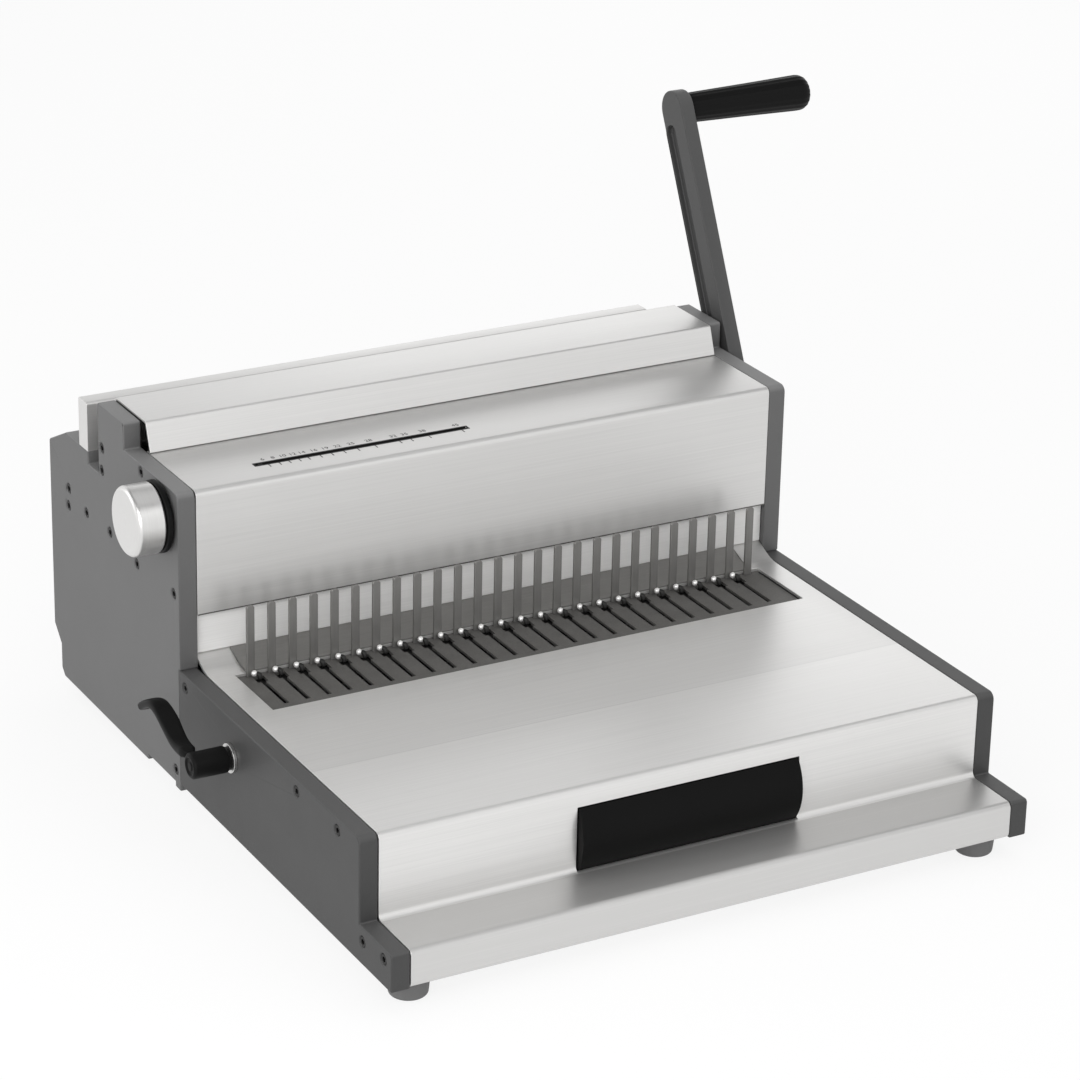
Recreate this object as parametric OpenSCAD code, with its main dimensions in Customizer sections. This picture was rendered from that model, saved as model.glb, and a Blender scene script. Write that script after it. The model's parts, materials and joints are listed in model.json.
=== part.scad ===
// Heavy desk comb binding machine: a vertical punch with a rack and pinion lever,
// and a comb opener whose hooks slide in a slotted deck plate in front of fixed tines.
// X runs along the machine, Y from the front ledge to the back, Z up from the desk.

/* [Side plates] */
// Width over the two side plates
body_w = 432; // [424:1:470]
// Thickness of a side plate
plate_t = 12; // [10:0.5:14]
// Depth of the front ledge
ledge_d = 40.5; // [32:1:60]
// Height of the ledge side
ledge_h = 24; // [20:0.5:26]
// Depth from the front panel to the punch housing
deck_d = 247.5; // [244:0.5:280]
// Height of the front panel
panel_h = 54; // [50:1:60]
// Height of the punch housing over the deck
housing_h = 116.5; // [114:0.5:130]
// Depth from the housing front to the raised head
head_front_d = 82; // [78:1:90]
// Depth of the raised head
head_d = 42; // [38:1:48]
// Height of the raised head over the housing
head_h = 17.5; // [12:1:24]
// Width of the paper slot between the head and the paper rest
slot_w = 17; // [16:0.5:20]
// Height of the slot floor over the deck
slot_floor_h = 86; // [84:0.5:88]
// Depth of the tail behind the paper slot
tail_d = 66; // [56:1:90]
// Height of the tail over the deck
tail_h = 94.5; // [91:0.5:96]
// Drop of the tail at its rear edge
tail_drop = 14; // [4:1:24]
// Length of the sloped part of the tail
tail_slope_d = 28.5; // [20:1:36]
// Depth that the side plates reach below the base
skirt_h = 5; // [4:0.5:8]
// Step of the lower rear corner
heel_d = 11; // [6:1:16]
// Height of the lower rear corner
heel_h = 28; // [20:1:40]
// Radius of the front corners of the plates
plate_r = 5; // [2:0.5:8]

/* [Covers] */
// Thickness of the folded covers
sheet_t = 1.5; // [1:0.1:1.8]
// Thickness of the deck sheet
deck_t = 2; // [1.5:0.1:2.5]
// Outer bend radius of the folded sheets
bend_r = 4; // [3:0.5:6]
// Height of the comb gap under the housing cover
comb_gap_h = 35; // [33:0.5:37]
// Depth of the recess behind the housing cover
recess_d = 4; // [3.5:0.1:6]
// Rise of the deck towards the recess, in degrees
cove_lean = 24; // [15:1:30]
// Gap between a cover and the plate beside it
cover_gap = 0.4; // [0.1:0.1:0.8]
// Lean of the sloped face of the head cap
cap_slope_d = 7; // [4:0.5:10]
// Depth that the cap reaches in front of the head of the plates
cap_front_d = 13.5; // [10:0.5:18]
// Height of the cap over the head of the plates
cap_rise = 1.5; // [0.5:0.1:3]
// Length of the paper rest
rest_l = 410; // [380:1:411]
// Depth of the paper rest
rest_d = 14; // [8:0.5:18]
// Height of the paper rest over the tail
rest_h = 33; // [20:1:60]
// Wall of the paper rest
rest_wall = 2; // [1.5:0.1:3]

/* [Feet] */
// Height of a foot
foot_h = 15.5; // [10:0.5:20]
// Diameter of a foot
foot_dia = 26; // [20:1:30]
// Distance of a foot from the side of the body
foot_side = 22; // [20:1:30]
// Distance of a foot from the front or back of the body
foot_end = 22; // [16:1:30]

/* [Comb pattern] */
// Number of punch pins, tines and hooks
hole_n = 26; // [20:1:26]
// Distance between two holes of a plastic comb
hole_pitch = 14.2875; // [14.2:0.0125:14.3]
// Shift of the row to the right of the middle
row_shift = 1; // [0:0.5:4]
// Width of a comb hole
hole_w = 8; // [7:0.1:9]
// Height of a comb hole
hole_h = 3; // [2.5:0.1:3.5]
// Height of the holes over the slot floor
margin = 5.5; // [4.5:0.1:6.5]

/* [Punch unit] */
// Thickness of the guide plate in front of the paper
guide_t = 12; // [10:0.5:14]
// Thickness of the die plate behind the paper
die_t = 8; // [6:0.5:9]
// Width of the throat between guide plate and die plate
throat_w = 5; // [4.5:0.1:6]
// Height of the throat over the slot floor
throat_h = 17; // [14:0.5:19]
// Depth of the guide plate below the slot floor
die_drop = 17; // [16:0.5:20]
// Thickness of the punch bar
bar_t = 10; // [8:0.5:11]
// Distance of the pin tips from the throat at rest
pin_back = 4; // [2:0.5:5]
// Distance of the punch bar from the shaft axis at rest
bar_back = 17; // [16.5:0.5:19]
// Diameter of a guide rod of the punch bar
guide_rod_dia = 8; // [6:0.5:9]
// Half of the distance between the guide rods
guide_rod_half = 110; // [90:1:130]
// Half of the distance between the punch racks
punch_rack_half = 160; // [140:1:164]
// Width of a rack and of its pinion
rack_w = 12; // [8:0.5:14]

/* [Gearing] */
// Module of the racks and pinions
gear_module = 2; // [1.8:0.05:2.1]
// Teeth of a punch pinion
punch_teeth = 12; // [12:1:13]
// Teeth of a comb opener pinion
opener_teeth = 14; // [13:1:14]
// Pressure angle of the teeth
pressure_angle = 25; // [24:1:26]
// Play between meshing teeth
backlash = 0.3; // [0.2:0.05:0.5]

/* [Punch lever] */
// Diameter of the main shaft
shaft_dia = 14; // [12:0.5:15]
// Distance of the shaft behind the housing front
shaft_back = 63; // [61:0.5:65]
// Height of the shaft over the deck
shaft_h = 66; // [64:0.5:68]
// Length of the lever from shaft to grip axis
lever_l = 216.5; // [180:0.5:280]
// Lean of the lever at rest, in degrees
lever_lean = 25.8; // [15:0.1:30]
// Width of the lever bar
lever_w = 26; // [23:0.5:32]
// Thickness of the lever bar
lever_t = 10.5; // [9:0.5:14]
// Diameter of the lever eye on the shaft
lever_eye_dia = 40; // [34:1:46]
// Width of the groove in the lever
groove_w = 11; // [6:0.5:12]
// Depth of the groove in the lever
groove_d = 4; // [1.5:0.5:5]
// Length of the grip
grip_l = 96; // [70:1:120]
// Diameter of the grip beside the lever
grip_dia = 20.5; // [18:0.5:26]
// Diameter of the grip at its outer end
grip_end_dia = 25; // [22:0.5:30]
// Diameter of the grip bolt
grip_bolt_dia = 10; // [8:0.5:11]

/* [Comb opener] */
// Distance from the outer tines' middle to the side of the slotted opening
well_side = 9.4; // [8:0.1:12]
// Depth of the slotted opening in the deck
well_d = 55; // [52:0.5:58]
// Distance of the opening from the housing front
well_back = 19.5; // [19:0.5:21]
// Width of a slot
slot_cut_w = 3.2; // [3:0.1:4]
// Width of the wide rear end of a slot
slot_eye_w = 7; // [6:0.1:8]
// Thickness of a hook
hook_t = 2.2; // [1.8:0.1:2.4]
// Height of a hook over the deck
hook_h = 5; // [4.5:0.5:8]
// Height of a tine over the deck
tine_h = 45; // [38:0.5:52]
// Width of a tine
tine_w = 5.2; // [4:0.1:6]
// Thickness of a tine
tine_t = 2; // [1.5:0.1:2.4]
// Distance from a tine to the hook beside it
hook_side = 3.6; // [3.4:0.1:4]
// Diameter of the opener shaft
opener_dia = 10; // [8:0.5:10]
// Distance of the opener shaft in front of the housing
opener_front = 75; // [73:1:77]
// Depth of the opener shaft below the deck
opener_drop = 25.5; // [25.2:0.1:26]
// Diameter of the opener hub
opener_hub_dia = 16.5; // [15:0.5:24]
// Length of the opener hub
opener_hub_l = 25; // [18:0.5:32]
// Width of the opener paddle
paddle_w = 9; // [6:0.5:16]
// Thickness of the opener paddle
paddle_t = 6; // [3.5:0.5:7]
// Reach of the opener paddle
paddle_l = 80; // [65:1:90]

/* [Comb size selector] */
// Diameter of the selector knob
knob_dia = 45.5; // [36:0.5:46]
// Length of the selector knob
knob_l = 23; // [16:0.5:26]
// Distance of the knob behind the housing front
knob_back = 24; // [23:0.5:25]
// Distance of the knob axis below the housing top
knob_drop = 22; // [20:0.5:23]
// Diameter of the selector spindle
spindle_dia = 8; // [6:0.5:9]
// Length of the pointer slot in the housing top
pointer_slot_l = 146; // [140:1:150]
// Width of the pointer slot
pointer_slot_w = 2.4; // [2:0.1:3]
// Distance of the slot from the left end of the housing
pointer_slot_in = 51; // [40:1:70]

/* [Chip drawer] */
// Width of the drawer front
drawer_w = 150; // [120:1:170]
// Height of the drawer front
drawer_h = 41; // [34:0.5:42]
// Bulge of the drawer front
drawer_bulge = 7; // [6:0.5:14]
// Depth that the drawer tray reaches under the punch housing
tray_reach = 6.5; // [0:0.5:8]
// Height of the drawer tray
tray_h = 16; // [12:0.5:17]
// Wall of the drawer tray
tray_wall = 1.5; // [1:0.1:2.5]

/* [Hidden] */

// Overrun of every cut
over = 1;
// Play of a part that only has to pass another
play = 0.3;
// Radial play of a running fit
fit = 0.05;
// Segments of round parts and of drawn arcs
$fn = 64;
arc_n = 6;

// Lines across the machine
half_w = body_w / 2;
inner = half_w - plate_t;
housing_y = ledge_d + deck_d;
head_y = housing_y + head_front_d;
head_rear_y = head_y + head_d;
rest_y = head_rear_y + slot_w;
rear_y = rest_y + tail_d;
ledge_z = foot_h + ledge_h;
deck_z = ledge_z + panel_h;
housing_z = deck_z + housing_h;
head_z = housing_z + head_h;
slot_floor_z = deck_z + slot_floor_h;
tail_z = deck_z + tail_h;
lip_z = deck_z + comb_gap_h;
recess_y = housing_y + recess_d;
skirt_z = foot_h - skirt_h;

// The comb row
row_l = (hole_n - 1) * hole_pitch;
well_w = row_l + 2 * well_side;
function row_x(i) = row_shift - row_l / 2 + i * hole_pitch;
hole_z = slot_floor_z + margin;

// The punch unit
guide_gap = 2;
guide_y = head_rear_y + guide_gap - guide_t;
throat_y = head_rear_y + guide_gap;
die_y = throat_y + throat_w;
die_low_z = slot_floor_z - die_drop;
die_top_z = slot_floor_z + throat_h;
shaft_y = housing_y + shaft_back;
shaft_z = deck_z + shaft_h;
punch_r = gear_module * punch_teeth / 2;
bar_y = shaft_y + bar_back;
bar_over = 10.5;
bar_low_z = die_low_z + gear_module;
bar_top_z = hole_z + bar_over;
guide_rod_z = bar_low_z + guide_rod_dia;
pin_tip_y = throat_y - pin_back;
rack_body = 5;
rod_wall = 2;

// The lever outside the right side plate
bearing_flange = 0.8;
lever_x = half_w + bearing_flange + play;
grip_x = lever_x + lever_t + play;
grip_y = shaft_y + lever_l * sin(lever_lean);
grip_z = shaft_z + lever_l * cos(lever_lean);
lever_dir = [sin(lever_lean), cos(lever_lean)];

// The comb opener
opener_y = housing_y - opener_front;
opener_z = deck_z - opener_drop;
opener_r = gear_module * opener_teeth / 2;
well_rear_y = housing_y - well_back;
well_y = well_rear_y - well_d;
slotted_t = 2;
slotted_z = deck_z - deck_t - slotted_t;
carriage_top_z = slotted_z - over;
carriage_t = 4.5;
carriage_d = 18;
hook_n = hole_n - 1;
hook_d = 6;
tine_y = well_rear_y - tine_t - play;
hook_y = tine_y - hook_d / 2;
carriage_y = tine_y - over - carriage_d;
carriage_rod_dia = 6;
lug_w = 10;
lug_x = inner - over - lug_w;
lug_low_z = opener_z + 3 * over;
carriage_rod_z = lug_low_z + carriage_rod_dia;
opener_rack_half = 150;
block_d = 8;
washer_t = 2.2;
hub_x = half_w + washer_t + play;

// The comb size selector
knob_y = housing_y + knob_back;
knob_z = housing_z - knob_drop;
knob_gap = 1.5;
nut_w = 12;
nut_d = 16;
nut_h = 16;
slot_x0 = pointer_slot_in - inner;
pointer_w = 3;
spindle_end_x = slot_x0 + pointer_slot_l + nut_w;

// The chip drawer
tray_z = ledge_z + deck_t;
drawer_gap = 0.6;
tray_y = ledge_d + deck_t;
tray_l = housing_y + tray_reach - tray_y;

// Middle of the space that the whole machine takes
left_reach = half_w + max(washer_t + play + opener_hub_l, knob_gap + knob_l);
right_reach = grip_x + grip_l;
mid_x = (right_reach - left_reach) / 2;
mid_y = rear_y / 2;

steel = "silver";
dark_steel = "dimgray";
paint = "gray";
black = "#222222";
alu = "gainsboro";

// Stands the machine on the middle of its footprint
module placed() {
  translate([-mid_x, -mid_y, 0]) children();
}

// Extrudes a drawing of Y and Z along X
module across(x0, x1) {
  translate([x0, 0, 0]) rotate([90, 0, 90]) linear_extrude(x1 - x0) children();
}

module block(x0, x1, y0, y1, z0, z1) {
  translate([x0, y0, z0]) cube([x1 - x0, y1 - y0, z1 - z0]);
}

module rod_x(x0, x1, y, z, d) {
  translate([x0, y, z]) rotate([0, 90, 0]) cylinder(h = x1 - x0, d = d);
}

module rod_y(x, y0, y1, z, d) {
  translate([x, y0, z]) rotate([-90, 0, 0]) cylinder(h = y1 - y0, d = d);
}

module rod_z(x, y, z0, z1, d) {
  translate([x, y, z0]) cylinder(h = z1 - z0, d = d);
}

// Angle of a direction in a drawing
function heading(v) = atan2(v[1], v[0]);
function turn(a, b, c) = (heading(c - b) - heading(b - a) + 540) % 360 - 180;

// One corner b between a and c, rounded with radius r
function corner(a, b, c, r) =
  let (t = turn(a, b, c), u = (b - a) / norm(b - a), s = t > 0 ? 1 : -1)
  r == 0 || abs(t) < 1 ? [b] :
  let (p = b - u * (r * tan(abs(t) / 2)), m = p + s * r * [-u[1], u[0]], h = heading(u) - s * 90)
  [for (i = [0 : arc_n]) m + r * [cos(h + t * i / arc_n), sin(h + t * i / arc_n)]];

// An open path of [y, z] points with rounded corners, where a third value sets a corner's own radius
function flat(v) = [v[0], v[1]];
function bent(p, r) = let (n = len(p), q = [for (v = p) flat(v)])
  [q[0], for (i = [1 : n - 2]) each corner(q[i - 1], q[i], q[i + 1], len(p[i]) > 2 ? p[i][2] : r), q[n - 1]];

// A closed outline of [y, z, radius] corners
function rounded(p) = let (n = len(p), q = [for (v = p) flat(v)])
  [for (i = [0 : n - 1]) each corner(q[(i + n - 1) % n], q[i], q[(i + 1) % n], p[i][2])];

// The other face of a sheet of thickness t on the left of a path
function beside(p, t) = let (n = len(p)) [for (i = [0 : n - 1])
  let (u = i == 0 ? p[1] - p[0] : p[i] - p[i - 1], v = i == n - 1 ? u : p[i + 1] - p[i],
       a = u / norm(u), b = v / norm(v), m = a + b)
  p[i] + 2 * t / (m * m) * [-m[1], m[0]]];

// A folded sheet along a path
module folded(x0, x1, path, t, r = bend_r) {
  p = bent(path, r);
  q = beside(p, t);
  across(x0, x1) polygon(concat(p, [for (i = [len(q) - 1 : -1 : 0]) q[i]]));
}

// Outline of a bar with two round ends
function bar_outline(a, ra, b, rb) =
  let (v = b - a, h = heading(v), k = asin((ra - rb) / norm(v)), n = 4 * arc_n)
  concat([for (i = [0 : n]) a + ra * [cos(h + 90 - k + (180 + 2 * k) * i / n),
                                      sin(h + 90 - k + (180 + 2 * k) * i / n)]],
         [for (i = [0 : n]) b + rb * [cos(h - 90 + k + (180 - 2 * k) * i / n),
                                      sin(h - 90 + k + (180 - 2 * k) * i / n)]]);

// Involute gearing: tooth half angle at radius q of a pinion of pitch radius r
addendum = 0.8 * gear_module;
dedendum = gear_module;
function involute(a) = tan(a) * 180 / PI - a;
function half_tooth(r, q) = let (base = r * cos(pressure_angle), c = min(1, base / q))
  (gear_module * PI / 4 - backlash / 4) / r * 180 / PI + involute(pressure_angle) - involute(acos(c));

// Drawing of a pinion with a tooth that points along the second axis
module pinion_2d(r, teeth) {
  low = r - dedendum;
  base = max(low, r * cos(pressure_angle));
  radii = concat([low], [for (i = [0 : 4]) base + (r + addendum - base) * i / 4]);
  polygon([for (k = [0 : teeth - 1]) each concat(
    [for (q = radii) let (a = 90 + k * 360 / teeth - half_tooth(r, q)) q * [cos(a), sin(a)]],
    [for (i = [len(radii) - 1 : -1 : 0]) let (q = radii[i], a = 90 + k * 360 / teeth + half_tooth(r, q))
      q * [cos(a), sin(a)]])]);
}

// Drawing of a rack from y0 to y1 with its pitch line at z and a tooth space at y, teeth upward for s of 1
module rack_2d(y0, y1, y, z, s) {
  pitch = gear_module * PI;
  w = pitch / 4 - backlash / 4;
  root = dedendum + over / 5;
  slope = tan(pressure_angle);
  first = ceil((y0 - y) / pitch - 0.5 + 0.4);
  last = floor((y1 - y) / pitch - 0.5 - 0.4);
  teeth = [for (k = [first : last]) each let (c = y + (k + 0.5) * pitch)
    [[c - w - root * slope, z - s * root], [c - w + addendum * slope, z + s * addendum],
     [c + w - addendum * slope, z + s * addendum], [c + w + root * slope, z - s * root]]];
  polygon(concat([[y0, z - s * (root + rack_body)], [y0, z - s * root]], teeth,
                 [[y1, z - s * root], [y1, z - s * (root + rack_body)]]));
}

// Side plates
front_seam = housing_y + 2 * over;
module tail_outline() {
  notch_y = head_rear_y;
  polygon(rounded([
    [housing_y, deck_z, 0], [front_seam, deck_z, 0], [front_seam, skirt_z, 0],
    [rear_y - heel_d - plate_r, skirt_z, 0], [rear_y - heel_d, skirt_z + plate_r, 0],
    [rear_y - heel_d, foot_h + heel_h - heel_d, 0], [rear_y, foot_h + heel_h, 0],
    [rear_y, tail_z - tail_drop, 2], [rear_y - tail_slope_d, tail_z, 2],
    [rest_y, tail_z, 0], [rest_y, slot_floor_z, 0],
    [notch_y, slot_floor_z, 0], [notch_y, head_z, 2], [head_y, head_z, 2],
    [head_y, housing_z, 0], [housing_y, housing_z, plate_r]]));
}

module base_outline() {
  polygon(rounded([
    [0, foot_h, 0], [front_seam, foot_h, 0], [front_seam, deck_z, 0],
    [ledge_d, deck_z, plate_r], [ledge_d, ledge_z, 0], [0, ledge_z, plate_r / 2]]));
}

// Places of the plate screws, as shares of the housing and of the base
tail_screw_shares = [[0.569, 0.864], [0.574, 0.791], [0.27, 0.893], [0.848, 0.636], [0.853, 0.578],
  [0.706, 0.607], [0.52, 0.612], [0.314, 0.587], [0.04, 0.597], [0.044, 0.034]];
base_screw_shares = [[0.975, 0.892], [0.426, 0.905], [0.24, 0.9], [0.127, 0.19], [0.035, 0.216]];
function tail_screw(v) = [housing_y + v[0] * (rear_y - housing_y), foot_h + v[1] * (head_z - foot_h)];
function base_screw(v) = [v[0] * housing_y, foot_h + v[1] * (deck_z - foot_h)];
screw_head_dia = 6.6;
screw_head_t = 2.6;
screw_sink = 3;
screw_dia = 3.8;
hex_dia = 3.4;

// A plate is drawn on the right side and mirrored for the left
module plate_screw_cut(p) {
  rod_x(inner - over, half_w + over, p[0], p[1], screw_dia + fit);
  rod_x(half_w - screw_sink, half_w + over, p[0], p[1], screw_head_dia + play);
}

module plate_screw(p) {
  difference() {
    union() {
      rod_x(half_w - screw_sink, half_w - screw_sink + screw_head_t, p[0], p[1], screw_head_dia);
      rod_x(inner, half_w - screw_sink, p[0], p[1], screw_dia);
    }
    translate([half_w - screw_sink + screw_head_t / 3, p[0], p[1]]) rotate([0, 90, 0])
      cylinder(h = screw_head_t, d = hex_dia, $fn = 6);
  }
}

module right_half(left) {
  if (left) mirror([1, 0, 0]) children();
  else children();
}

bush_wall = 4;
vent_in = 8;
vent_l = 42;
bush_pocket = 8;
module side_plate(left) {
  right_half(left) difference() {
    across(inner, half_w) tail_outline();
    for (v = tail_screw_shares) plate_screw_cut(tail_screw(v));
    block(inner - over, half_w + over, front_seam + vent_in, front_seam + vent_in + vent_l,
          skirt_z - over, foot_h - sheet_t);
    if (left) {
      rod_x(inner - over, inner + bush_pocket, shaft_y, shaft_z, shaft_dia + 2 * bush_wall);
      rod_x(inner - over, half_w + over, knob_y, knob_z, spindle_dia + 2 * fit);
    } else {
      rod_x(inner - over, half_w + over, shaft_y, shaft_z, shaft_dia + 2 * bush_wall);
      stop_pin_cut();
    }
  }
}

module base_plate(left) {
  right_half(left) difference() {
    across(inner, half_w) base_outline();
    for (v = base_screw_shares) plate_screw_cut(base_screw(v));
    rod_x(inner - over, left ? half_w + over : inner + bush_pocket, opener_y, opener_z,
          opener_dia + 2 * opener_bush_wall);
  }
}

module left_side_plate() { color(paint) side_plate(true); }
module right_side_plate() { color(paint) side_plate(false); }
module left_base_plate() { color(paint) base_plate(true); }
module right_base_plate() { color(paint) base_plate(false); }

module screws(left) {
  right_half(left) {
    for (v = tail_screw_shares) plate_screw(tail_screw(v));
    for (v = base_screw_shares) plate_screw(base_screw(v));
  }
}
module plate_screws_left() { color(black) screws(true); }
module plate_screws_right() { color(black) screws(false); }

// Round bars that hold the side plates apart
tie_dia = 12;
module tie_bars() {
  color(steel) {
    rod_x(-inner, inner, shaft_y - 2 * tie_dia, shaft_z - 2.5 * tie_dia, tie_dia);
    rod_x(-inner, inner, rear_y - 3 * tie_dia, foot_h + 4 * tie_dia, tie_dia);
    rod_x(-inner, inner, ledge_d + 6 * tie_dia, deck_z - 1.5 * tie_dia, tie_dia);
  }
}

// Folded covers
module housing_cover() {
  top_end = head_y - cap_front_d + 4 * sheet_t;
  color(alu) difference() {
    folded(-inner + cover_gap, inner - cover_gap,
           [[top_end, housing_z], [housing_y, housing_z], [housing_y, lip_z]], sheet_t);
    block(slot_x0, slot_x0 + pointer_slot_l, knob_y - pointer_slot_w / 2, knob_y + pointer_slot_w / 2,
          housing_z - sheet_t - over, housing_z + over);
  }
}

module head_cap() {
  foot_y = head_y - cap_front_d;
  top_z = head_z + cap_rise;
  rear = head_rear_y - cover_gap;
  slope = [cap_slope_d, top_z - housing_z];
  lift = sheet_t * cap_slope_d / norm(slope) + cover_gap / 4;
  color(alu) folded(-inner + cover_gap, inner - cover_gap,
    [[rear, die_top_z + play], [rear, top_z], [foot_y + cap_slope_d, top_z],
     [foot_y + lift * slope[0] / slope[1], housing_z + lift]], sheet_t, bend_r / 2);
}

// Height of the deck sheet where it rises towards the recess
cove_y = housing_y - 3 * bend_r;
cove_r = 7 * bend_r;
function cove_z(y) = deck_z + (y - cove_y) * tan(cove_lean);

module recess_panel() {
  color(alu) folded(-inner + cover_gap, inner - cover_gap,
    [[recess_y + 4 * bend_r, lip_z + 2 * bend_r], [recess_y, lip_z + 2 * bend_r],
     [recess_y, cove_z(recess_y + sheet_t) + cover_gap / 2]], sheet_t);
}

module deck_panel() {
  drawer_half = drawer_w / 2 + drawer_gap;
  color(alu) difference() {
    folded(-inner + cover_gap, inner - cover_gap,
           [[recess_y + bend_r, cove_z(recess_y + bend_r)], [cove_y, deck_z, cove_r], [ledge_d, deck_z],
            [ledge_d, ledge_z], [0, ledge_z], [0, foot_h], [4 * bend_r, foot_h]], deck_t, bend_r);
    block(-well_w / 2, well_w / 2, well_y, well_rear_y, deck_z - deck_t - over, deck_z + over);
    block(-drawer_half, drawer_half, ledge_d - drawer_bulge, ledge_d + deck_t + over,
          ledge_z + drawer_gap / 2, ledge_z + drawer_h + drawer_gap);
  }
}

floor_t = 2;
module bottom_cover() {
  color(dark_steel) block(-inner, inner, 4 * bend_r, rear_y - heel_d - plate_r, foot_h, foot_h + floor_t);
}

module rear_cover() {
  color(paint) folded(-inner + cover_gap, inner - cover_gap,
    [[rear_y - heel_d - over, foot_h + floor_t], [rear_y - heel_d - over, foot_h + heel_h - heel_d],
     [rear_y - over, foot_h + heel_h], [rear_y - over, tail_z - tail_drop],
     [rear_y - tail_slope_d, tail_z], [rest_y + rest_d - rest_wall, tail_z]], sheet_t, bend_r / 2);
}

module paper_rest() {
  x1 = rest_l - half_w;
  color(alu) difference() {
    across(-half_w, x1) polygon(rounded([
      [rest_y, tail_z, 0], [rest_y + rest_d, tail_z, 0],
      [rest_y + rest_d, tail_z + rest_h, rest_wall], [rest_y, tail_z + rest_h, rest_wall]]));
    block(-half_w + 2 * rest_wall, x1 - 2 * rest_wall, rest_y + rest_wall, rest_y + rest_d - rest_wall,
          tail_z - over, tail_z + rest_h - rest_wall);
  }
}

// The stop that the sheets' side edge meets in the throat
stop_w = 8;
module side_stop() {
  color(dark_steel) block(inner - stop_w, inner, throat_y, die_y, slot_floor_z, die_top_z);
}

foot_places = [for (s = [-1, 1]) each [[s * (half_w - foot_side), foot_end],
  [s * (inner - foot_dia / 2 - over), rear_y - 1.5 * foot_end]]];
foot_bore = 9;
module feet() {
  color("dimgray") for (p = foot_places) translate([p[0], p[1], 0]) rotate_extrude()
    polygon([[foot_bore / 2, foot_h / 2], [foot_bore / 2, 0], [foot_dia / 2 - 2 * over, 0],
             [foot_dia / 2 - over, over], [foot_dia / 2, foot_h], [screw_dia / 2 + fit, foot_h],
             [screw_dia / 2 + fit, foot_h / 2]]);
}

module foot_screws() {
  color(steel) for (p = foot_places) {
    rod_z(p[0], p[1], foot_h / 2 - screw_head_t, foot_h / 2, screw_head_dia);
    rod_z(p[0], p[1], foot_h / 2, foot_h, screw_dia);
  }
}

// Punch unit
module hole_row(y0, y1, grow) {
  for (i = [0 : hole_n - 1]) block(row_x(i) - hole_w / 2 - grow, row_x(i) + hole_w / 2 + grow,
    y0, y1, hole_z - hole_h / 2 - grow, hole_z + hole_h / 2 + grow);
}

module guide_plate() {
  color(dark_steel) difference() {
    block(-inner, inner, guide_y, throat_y, die_low_z, die_top_z);
    hole_row(guide_y - over, throat_y + over, 2 * fit);
    for (s = [-1, 1]) rod_y(row_shift + s * guide_rod_half, guide_y - over, throat_y + over,
                            guide_rod_z, guide_rod_dia);
  }
}

module die_plate() {
  color(dark_steel) difference() {
    block(-inner, inner, die_y, die_y + die_t, die_low_z, die_top_z);
    hole_row(die_y - over, die_y + die_t + over, fit);
  }
}

module margin_stop_bar() {
  color(steel) block(-inner, inner, throat_y, die_y, die_low_z, slot_floor_z);
}

rod_front = 2;
module guide_rods() {
  color(steel) for (s = [-1, 1]) rod_y(row_shift + s * guide_rod_half, bar_y - rod_front * guide_rod_dia / 2,
                                       throat_y, guide_rod_z, guide_rod_dia);
}

module punch_bar() {
  end = row_l / 2 + hole_w;
  color(dark_steel) difference() {
    block(row_shift - end, row_shift + end, bar_y, bar_y + bar_t, bar_low_z, bar_top_z);
    hole_row(bar_y + bar_t / 2, bar_y + bar_t + over, 0);
    for (s = [-1, 1]) rod_y(row_shift + s * guide_rod_half, bar_y - over, bar_y + bar_t + over,
                            guide_rod_z, guide_rod_dia + 2 * rod_wall);
  }
}

module punch_pins() {
  color(steel) hole_row(bar_y + bar_t / 2, pin_tip_y, 0);
}

module bar_bushes() {
  color("goldenrod") for (s = [-1, 1]) difference() {
    rod_y(row_shift + s * guide_rod_half, bar_y, bar_y + bar_t, guide_rod_z, guide_rod_dia + 2 * rod_wall);
    rod_y(row_shift + s * guide_rod_half, bar_y - over, bar_y + bar_t + over, guide_rod_z,
          guide_rod_dia + 2 * fit);
  }
}

module punch_racks() {
  pitch_z = shaft_z - punch_r;
  low_z = pitch_z - dedendum - over / 5 - rack_body;
  front_y = shaft_y - punch_r * 2;
  color(dark_steel) for (s = [-1, 1]) {
    x = row_shift + s * punch_rack_half - rack_w / 2;
    union() {
      across(x, x + rack_w) rack_2d(front_y, bar_y, shaft_y, pitch_z, 1);
      block(x, x + rack_w, bar_y, bar_y + bar_t, low_z, bar_low_z);
    }
  }
}

// Main shaft and lever
module shaft_bearings() {
  d = shaft_dia + 2 * bush_wall;
  color("goldenrod") {
    difference() {
      rod_x(-inner - bush_pocket, -inner + over, shaft_y, shaft_z, d);
      rod_x(-half_w, -inner + 2 * over, shaft_y, shaft_z, shaft_dia + 2 * fit);
    }
    difference() {
      union() {
        rod_x(inner - over, half_w, shaft_y, shaft_z, d);
        rod_x(half_w, half_w + bearing_flange, shaft_y, shaft_z, d + 2 * bush_wall);
      }
      rod_x(inner - 2 * over, half_w + 2 * bearing_flange, shaft_y, shaft_z, shaft_dia + 2 * fit);
    }
  }
}

thread_dia = 8;
thread_l = 14;
module main_shaft() {
  color(steel) difference() {
    rod_x(-inner - bush_pocket + over / 2, lever_x + lever_t, shaft_y, shaft_z, shaft_dia);
    rod_x(lever_x + lever_t - thread_l, lever_x + lever_t + over, shaft_y, shaft_z, thread_dia);
  }
}

module punch_pinions() {
  color(dark_steel) for (s = [-1, 1]) {
    x = row_shift + s * punch_rack_half - rack_w / 2;
    difference() {
      translate([0, shaft_y, shaft_z]) across(x, x + rack_w) mirror([0, 1]) pinion_2d(punch_r, punch_teeth);
      rod_x(x - over, x + rack_w + over, shaft_y, shaft_z, shaft_dia);
    }
  }
}

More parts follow.
